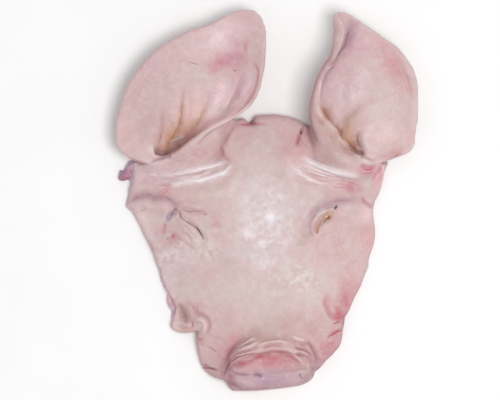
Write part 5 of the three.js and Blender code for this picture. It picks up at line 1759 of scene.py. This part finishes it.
class NodeBench:
    """Adds nodes to a material and links them by socket name."""

    def __init__(self, name: str) -> None:
        """Makes an empty node material of that name."""
        self.material = bpy.data.materials.new(name)
        self.material.use_nodes = True
        self.tree = self.material.node_tree
        self.tree.nodes.clear()

    def add(self, kind: str, inputs: dict[str | int, object], **settings: object) -> bpy.types.Node:
        """Adds a node.

        Args:
            kind: its type without "ShaderNode".
            inputs: values or sockets for its inputs, by name or number.
            settings: its other settings.

        Returns:
            The node.
        """
        node = self.tree.nodes.new(f"ShaderNode{kind}")
        for key, value in settings.items():
            setattr(node, key, value)
        for key, value in inputs.items():
            if isinstance(value, Socket):
                self.tree.links.new(value, node.inputs[key])
            else:
                node.inputs[key].default_value = value
        return node

    def place(self) -> Socket:
        """The place on the piece, in metres."""
        return self.add("TexCoord", {}).outputs["Object"]

    def stored(self, name: str, output: str = "Color") -> Socket:
        """What the mesh stores under a name."""
        return self.add("Attribute", {}, attribute_name=name).outputs[output]

    def noise(self, place: Socket, size: float, detail: float = 3.0, rough: float = 0.55) -> Socket:
        """Noise whose lumps are size millimetres, read at a place in metres."""
        inputs = {"Vector": place, "Scale": 1 / (size * METRES), "Detail": detail, "Roughness": rough}
        return self.add("TexNoise", inputs).outputs["Fac"]

    def math(self, operation: str, a: Socket, b: Socket | float) -> Socket:
        """The result of an operation on a and b."""
        return self.add("Math", {0: a, 1: b}, operation=operation).outputs[0]

    def sum(self, *values: Socket) -> Socket:
        """Adds values."""
        return reduce(lambda a, b: self.math("ADD", a, b), values)

    def product(self, *values: Socket | float) -> Socket:
        """Multiplies values, of which the first is a socket."""
        return reduce(lambda a, b: self.math("MULTIPLY", a, b), values)

    def range(self, value: Socket, low: float, high: float, to_low: float, to_high: float) -> Socket:
        """Maps a value from one range to another, eased and held at its ends."""
        inputs = {0: value, 1: low, 2: high, 3: to_low, 4: to_high}
        return self.add("MapRange", inputs, interpolation_type="SMOOTHSTEP").outputs[0]

    def blend(self, share: Socket, a: object, b: object, kind: str = "MIX") -> Socket:
        """Blends colour a with colour b by a share."""
        inputs = {0: share, 6: a, 7: b}
        return self.add("Mix", inputs, data_type="RGBA", blend_type=kind, clamp_factor=True).outputs[2]

    def shaded(self, values: dict[str, object]) -> bpy.types.Material:
        """The material, ended with a shader of these values."""
        shader = self.add("BsdfPrincipled", values)
        self.add("OutputMaterial", {"Surface": shader.outputs["BSDF"]})
        return self.material


@dataclass(frozen=True)
class SkinFinish:
    """Raw pork skin: its charted tones, mottled, veined and pored, with light carried under it.

    Attributes:
        layers: sets of hairlines stored on the mesh.
        roughness: of the moist surface.
        under: how much of the light goes under the skin.
        depth: how far it goes, in metres, for red, and less for green and blue.
        waver: how far a vein strays, in metres.
    """

    layers: int
    roughness: float = 0.5
    under: float = 0.2
    depth: float = 0.0035
    waver: float = 0.006

    def make(self) -> bpy.types.Material:
        """The material: the mesh's tone, then what grows in the skin, then its lines."""
        bench = NodeBench("raw_pork_skin")
        place = bench.place()
        tone = bench.stored("skin_tone")
        tone = self.mottle(bench, place, tone)
        tone, strand_height = self.strands(bench, tone)
        tone, line_height = self.hairlines(bench, tone)
        fine = bench.noise(place, 1.3, 4.0, 0.6)
        soft = bench.noise(place, 4.5, 3.0)
        height = bench.sum(
            bench.product(fine, 0.2), bench.product(soft, 0.22),
            bench.product(self.net(bench, place), 0.07), strand_height, line_height,
        )
        bump = bench.add("Bump", {"Height": height, "Strength": 0.9, "Distance": METRES}).outputs["Normal"]
        low, high = self.roughness - 0.1, self.roughness + 0.1
        rough = bench.range(bench.noise(place, 5.0), 0.3, 0.7, low, high)
        return bench.shaded({
            "Base Color": tone,
            "Roughness": rough,
            "Normal": bump,
            "Subsurface Weight": self.under,
            "Subsurface Radius": (1.0, 0.45, 0.35),
            "Subsurface Scale": self.depth,
            "Specular IOR Level": 0.4,
            "IOR": 1.42,
        })

    def mottle(
        self, bench: NodeBench, place: Socket, tone: Socket
    ) -> Socket:
        """Blotches, painted white glints where the first trait asks for them, pink flecks, veins and pores.
        """
        trait = bench.add("SeparateColor", {0: bench.stored("skin_traits")})
        blotch = bench.range(bench.noise(place, 9.0, 5.0, 0.62), 0.4, 0.64, 0.0, 0.42)
        tone = bench.blend(blotch, tone, (0.93, 0.82, 0.82, 1), "MULTIPLY")
        pale = bench.range(bench.noise(place, 8.0, 2.5, 0.5), 0.5, 0.72, 0.0, 0.16)
        tone = bench.blend(pale, tone, (0.80, 0.72, 0.71, 1))
        # painted glints: a white speckle standing in for the sheen of the wet skin, where the first trait
        # marks it
        cells = bench.noise(place, 6.5, 1.5)
        specks = bench.noise(place, 2.4, 2.0)
        white = bench.product(
            bench.range(cells, 0.44, 0.62, 0.0, 1.0), bench.range(specks, 0.34, 0.62, 0.5, 1.0),
            bench.product(trait.outputs[0], 0.5),
        )
        tone = bench.blend(white, tone, (0.85, 0.8, 0.81, 1))
        fleck = bench.range(bench.noise(place, 2.6, 3.0, 0.6), 0.56, 0.72, 0.0, 0.22)
        tone = bench.blend(fleck, tone, (0.64, 0.4, 0.41, 1))
        vein = bench.product(
            bench.range(self.branches(bench, place, 10.0), 0.0, 0.07, 1.0, 0.0),
            bench.range(bench.noise(place, 12.0, 2.0), 0.45, 0.6, 0.0, 1.0),
            bench.product(trait.outputs[1], 0.34),
        )
        tone = bench.blend(vein, tone, (0.52, 0.2, 0.24, 1))
        pore = bench.range(bench.noise(place, 1.0, 2.0), 0.28, 0.42, 0.38, 0.0)
        return bench.blend(pore, tone, (0.42, 0.25, 0.24, 1))

    def branches(self, bench: NodeBench, place: Socket, size: float) -> Socket:
        """Distance to the edge of wavering cells, whose edges branch as veins do."""
        stray = bench.add("TexNoise", {"Vector": place, "Scale": 160.0, "Detail": 3.0}).outputs["Color"]
        sway = (self.waver, self.waver, self.waver)
        bent = bench.add("VectorMath", {0: stray, 1: sway}, operation="MULTIPLY").outputs[0]
        moved = bench.add("VectorMath", {0: place, 1: bent}, operation="ADD").outputs[0]
        cells = bench.add(
            "TexVoronoi", {"Vector": moved, "Scale": 1 / (size * METRES)}, feature="DISTANCE_TO_EDGE"
        )
        return cells.outputs["Distance"]

    def net(self, bench: NodeBench, place: Socket) -> Socket:
        """The net of tiny creases between the plates of the skin, 0 in a crease."""
        return bench.range(self.branches(bench, place, 1.9), 0.0, 0.14, 0.0, 1.0)

    def strands(
        self, bench: NodeBench, tone: Socket
    ) -> tuple[Socket, Socket]:
        """White strands and pink gaps along the drawn bands, and their height in millimetres."""
        run = bench.add("SeparateXYZ", {0: bench.stored("strand_run", "Vector")})
        along, aside = bench.product(run.outputs[0], 0.07), bench.product(run.outputs[1], 0.75)
        full = run.outputs[2]
        place = bench.add("CombineXYZ", {0: along, 1: aside, 2: 0.0}).outputs[0]
        strand = bench.add("TexNoise", {"Vector": place, "Scale": 1.0, "Detail": 3.0}).outputs["Fac"]
        white = bench.product(bench.range(strand, 0.5, 0.64, 0.0, 0.62), full)
        gap = bench.product(bench.range(strand, 0.46, 0.34, 0.0, 0.45), full)
        tone = bench.blend(gap, tone, (0.60, 0.38, 0.38, 1))
        tone = bench.blend(white, tone, (0.87, 0.82, 0.84, 1))
        return tone, bench.product(bench.product(strand, full), 0.7)

    def hairlines(
        self, bench: NodeBench, tone: Socket
    ) -> tuple[Socket, Socket]:
        """Every layer of hairlines over the tone, and their height in millimetres.

        A line is full where the distance aside is no more than its width, and eases off outside.
        """
        heights = []
        for k in range(self.layers):
            row = bench.add("SeparateXYZ", {0: bench.stored(f"hairline_place_{k}", "Vector")})
            off = bench.add("Math", {0: row.outputs[0]}, operation="ABSOLUTE").outputs[0]
            share = bench.math("DIVIDE", off, row.outputs[2])
            full = bench.product(bench.range(share, 0.1, 1.7, 1.0, 0.0), row.outputs[1])
            line = bench.add("Attribute", {}, attribute_name=f"hairline_tone_{k}")
            tone = bench.blend(full, tone, line.outputs["Color"])
            rise = bench.math("SUBTRACT", line.outputs["Alpha"], 0.5)
            heights.append(bench.product(bench.product(full, rise), 4.0))
        return tone, bench.sum(*heights)


@dataclass(frozen=True)
class MeatFinish:
    """Raw meat and fat: wet, with fine strands along the muscle."""

    roughness: float = 0.36

    def make(self) -> bpy.types.Material:
        """The material: stretched noise is the strands, small noise the fat between them."""
        bench = NodeBench("raw_meat_and_fat")
        place = bench.place()
        long = bench.add("Mapping", {"Vector": place, "Scale": (1.0, 0.22, 1.0)}).outputs[0]
        tone = bench.stored("meat_tone")
        strand = bench.range(bench.noise(long, 1.6, 4.0), 0.42, 0.6, 0.0, 0.35)
        tone = bench.blend(strand, tone, (0.36, 0.13, 0.15, 1))
        fat = bench.range(bench.noise(place, 3.0, 4.0), 0.58, 0.72, 0.0, 0.5)
        tone = bench.blend(fat, tone, (0.76, 0.62, 0.6, 1))
        height = bench.sum(bench.noise(long, 1.4, 4.0), bench.noise(place, 4.0))
        bump = bench.add("Bump", {"Height": height, "Strength": 0.8, "Distance": 0.0005}).outputs["Normal"]
        rough = bench.range(bench.noise(place, 6.0), 0.3, 0.7, self.roughness - 0.08, self.roughness + 0.14)
        return bench.shaded({
            "Base Color": tone,
            "Roughness": rough,
            "Normal": bump,
            "Subsurface Weight": 0.15,
            "Subsurface Radius": (1.0, 0.35, 0.3),
            "Subsurface Scale": 0.003,
            "Specular IOR Level": 0.5,
        })


@dataclass(frozen=True)
class TableFinish:
    """A plain white table with the faintest unevenness."""

    def make(self) -> bpy.types.Material:
        """The material: near white, barely mottled, matt."""
        bench = NodeBench("white_table")
        place = bench.place()
        share = bench.range(bench.noise(place, 90.0), 0.3, 0.7, 0.0, 1.0)
        tone = bench.blend(share, (0.93, 0.93, 0.93, 1), (0.95, 0.95, 0.95, 1))
        return bench.shaded({"Base Color": tone, "Roughness": 0.75, "Specular IOR Level": 0.2})


# ---------------------------------------------------------------- table, light and camera


@dataclass(frozen=True)
class Studio:
    """The table, the light and the camera that looks straight down.

    Attributes:
        view_middle: where the camera looks, in metres.
        view_width: width of what it sees at view_height, in metres.
        view_height: height over the table at which that width is true.
        camera_height: of the camera, in metres.
        sky: strength of the even light from all round.
        key: watts of the soft light, which hangs almost overhead, a little to the right.
        key_place: its middle, in metres.
        key_size: its edge, in metres.
        table: edge of the table top, in metres.
    """

    view_middle: tuple[float, float] = (-0.01702, 0.00058)
    view_width: float = 0.5
    view_height: float = 0.024
    camera_height: float = 5.0
    sky: float = 0.6
    key: float = 24.0
    key_place: tuple[float, float, float] = (0.55, -0.12, 2.1)
    key_size: float = 0.9
    table: float = 8.0

    def build(self) -> None:
        """Lays the table, hangs the light and sets the camera."""
        self.lay_table()
        self.hang_light()
        world = bpy.data.worlds.new("even_light")
        world.use_nodes = True
        background = world.node_tree.nodes["Background"]
        background.inputs["Color"].default_value = (1.0, 1.0, 1.0, 1.0)
        background.inputs["Strength"].default_value = self.sky
        bpy.context.scene.world = world
        bpy.context.scene.view_settings.view_transform = "Standard"
        self.set_camera()

    def lay_table(self) -> None:
        """A wide flat table top whose surface is the ground."""
        corner = np.array([[-1, -1, 0], [1, -1, 0], [1, 1, 0], [-1, 1, 0]]) * self.table / 2 / METRES
        table = new_piece("table_top", Surface(corner + PLAN_MIDDLE, np.array([[0, 1, 2], [0, 2, 3]])))
        table.data.materials.append(TableFinish().make())

    def hang_light(self) -> None:
        """A square soft light, turned to the middle of the table."""
        light = bpy.data.lights.new("key_light", "AREA")
        light.shape = "SQUARE"
        light.size = self.key_size
        light.energy = self.key
        lamp = bpy.data.objects.new("key_light", light)
        lamp.location = self.key_place
        lamp.rotation_euler = (-Vector(self.key_place)).to_track_quat("-Z", "Y").to_euler()
        bpy.context.scene.collection.objects.link(lamp)

    def set_camera(self) -> None:
        """A long lens straight above, with the ears at the top of the picture."""
        camera = bpy.data.cameras.new("overhead_camera")
        camera.sensor_width = 36.0
        camera.lens = 36.0 * (self.camera_height - self.view_height) / self.view_width
        camera.clip_end = 50.0
        seat = bpy.data.objects.new("overhead_camera", camera)
        seat.location = (*self.view_middle, self.camera_height)
        bpy.context.scene.collection.objects.link(seat)
        bpy.context.scene.camera = seat


# ---------------------------------------------------------------- the scene


def ready(piece: Piece, node: str, material: bpy.types.Material) -> None:
    """Gives a piece its finish and ties it to the solid that it stands for."""
    piece.data.materials.clear()
    piece.data.materials.append(material)
    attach(piece, "root")
    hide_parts(node)
    LOG.info("%s: %d faces, for %s", piece.name, len(piece.data.polygons), node)


def main() -> None:
    """Builds the skin, the lining and the studio."""
    logging.basicConfig(level=logging.INFO, format="%(message)s", stream=sys.stdout)
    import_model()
    lining = MeatLining()
    skin = PorkSkin()
    skin.build(lining)
    skin.paint()
    ready(skin.piece, "face_skin", SkinFinish(skin.layers).make())
    lining.build()
    ready(lining.piece, "meat_lining", MeatFinish().make())
    Studio().build()


if __name__ == "__main__":
    main()
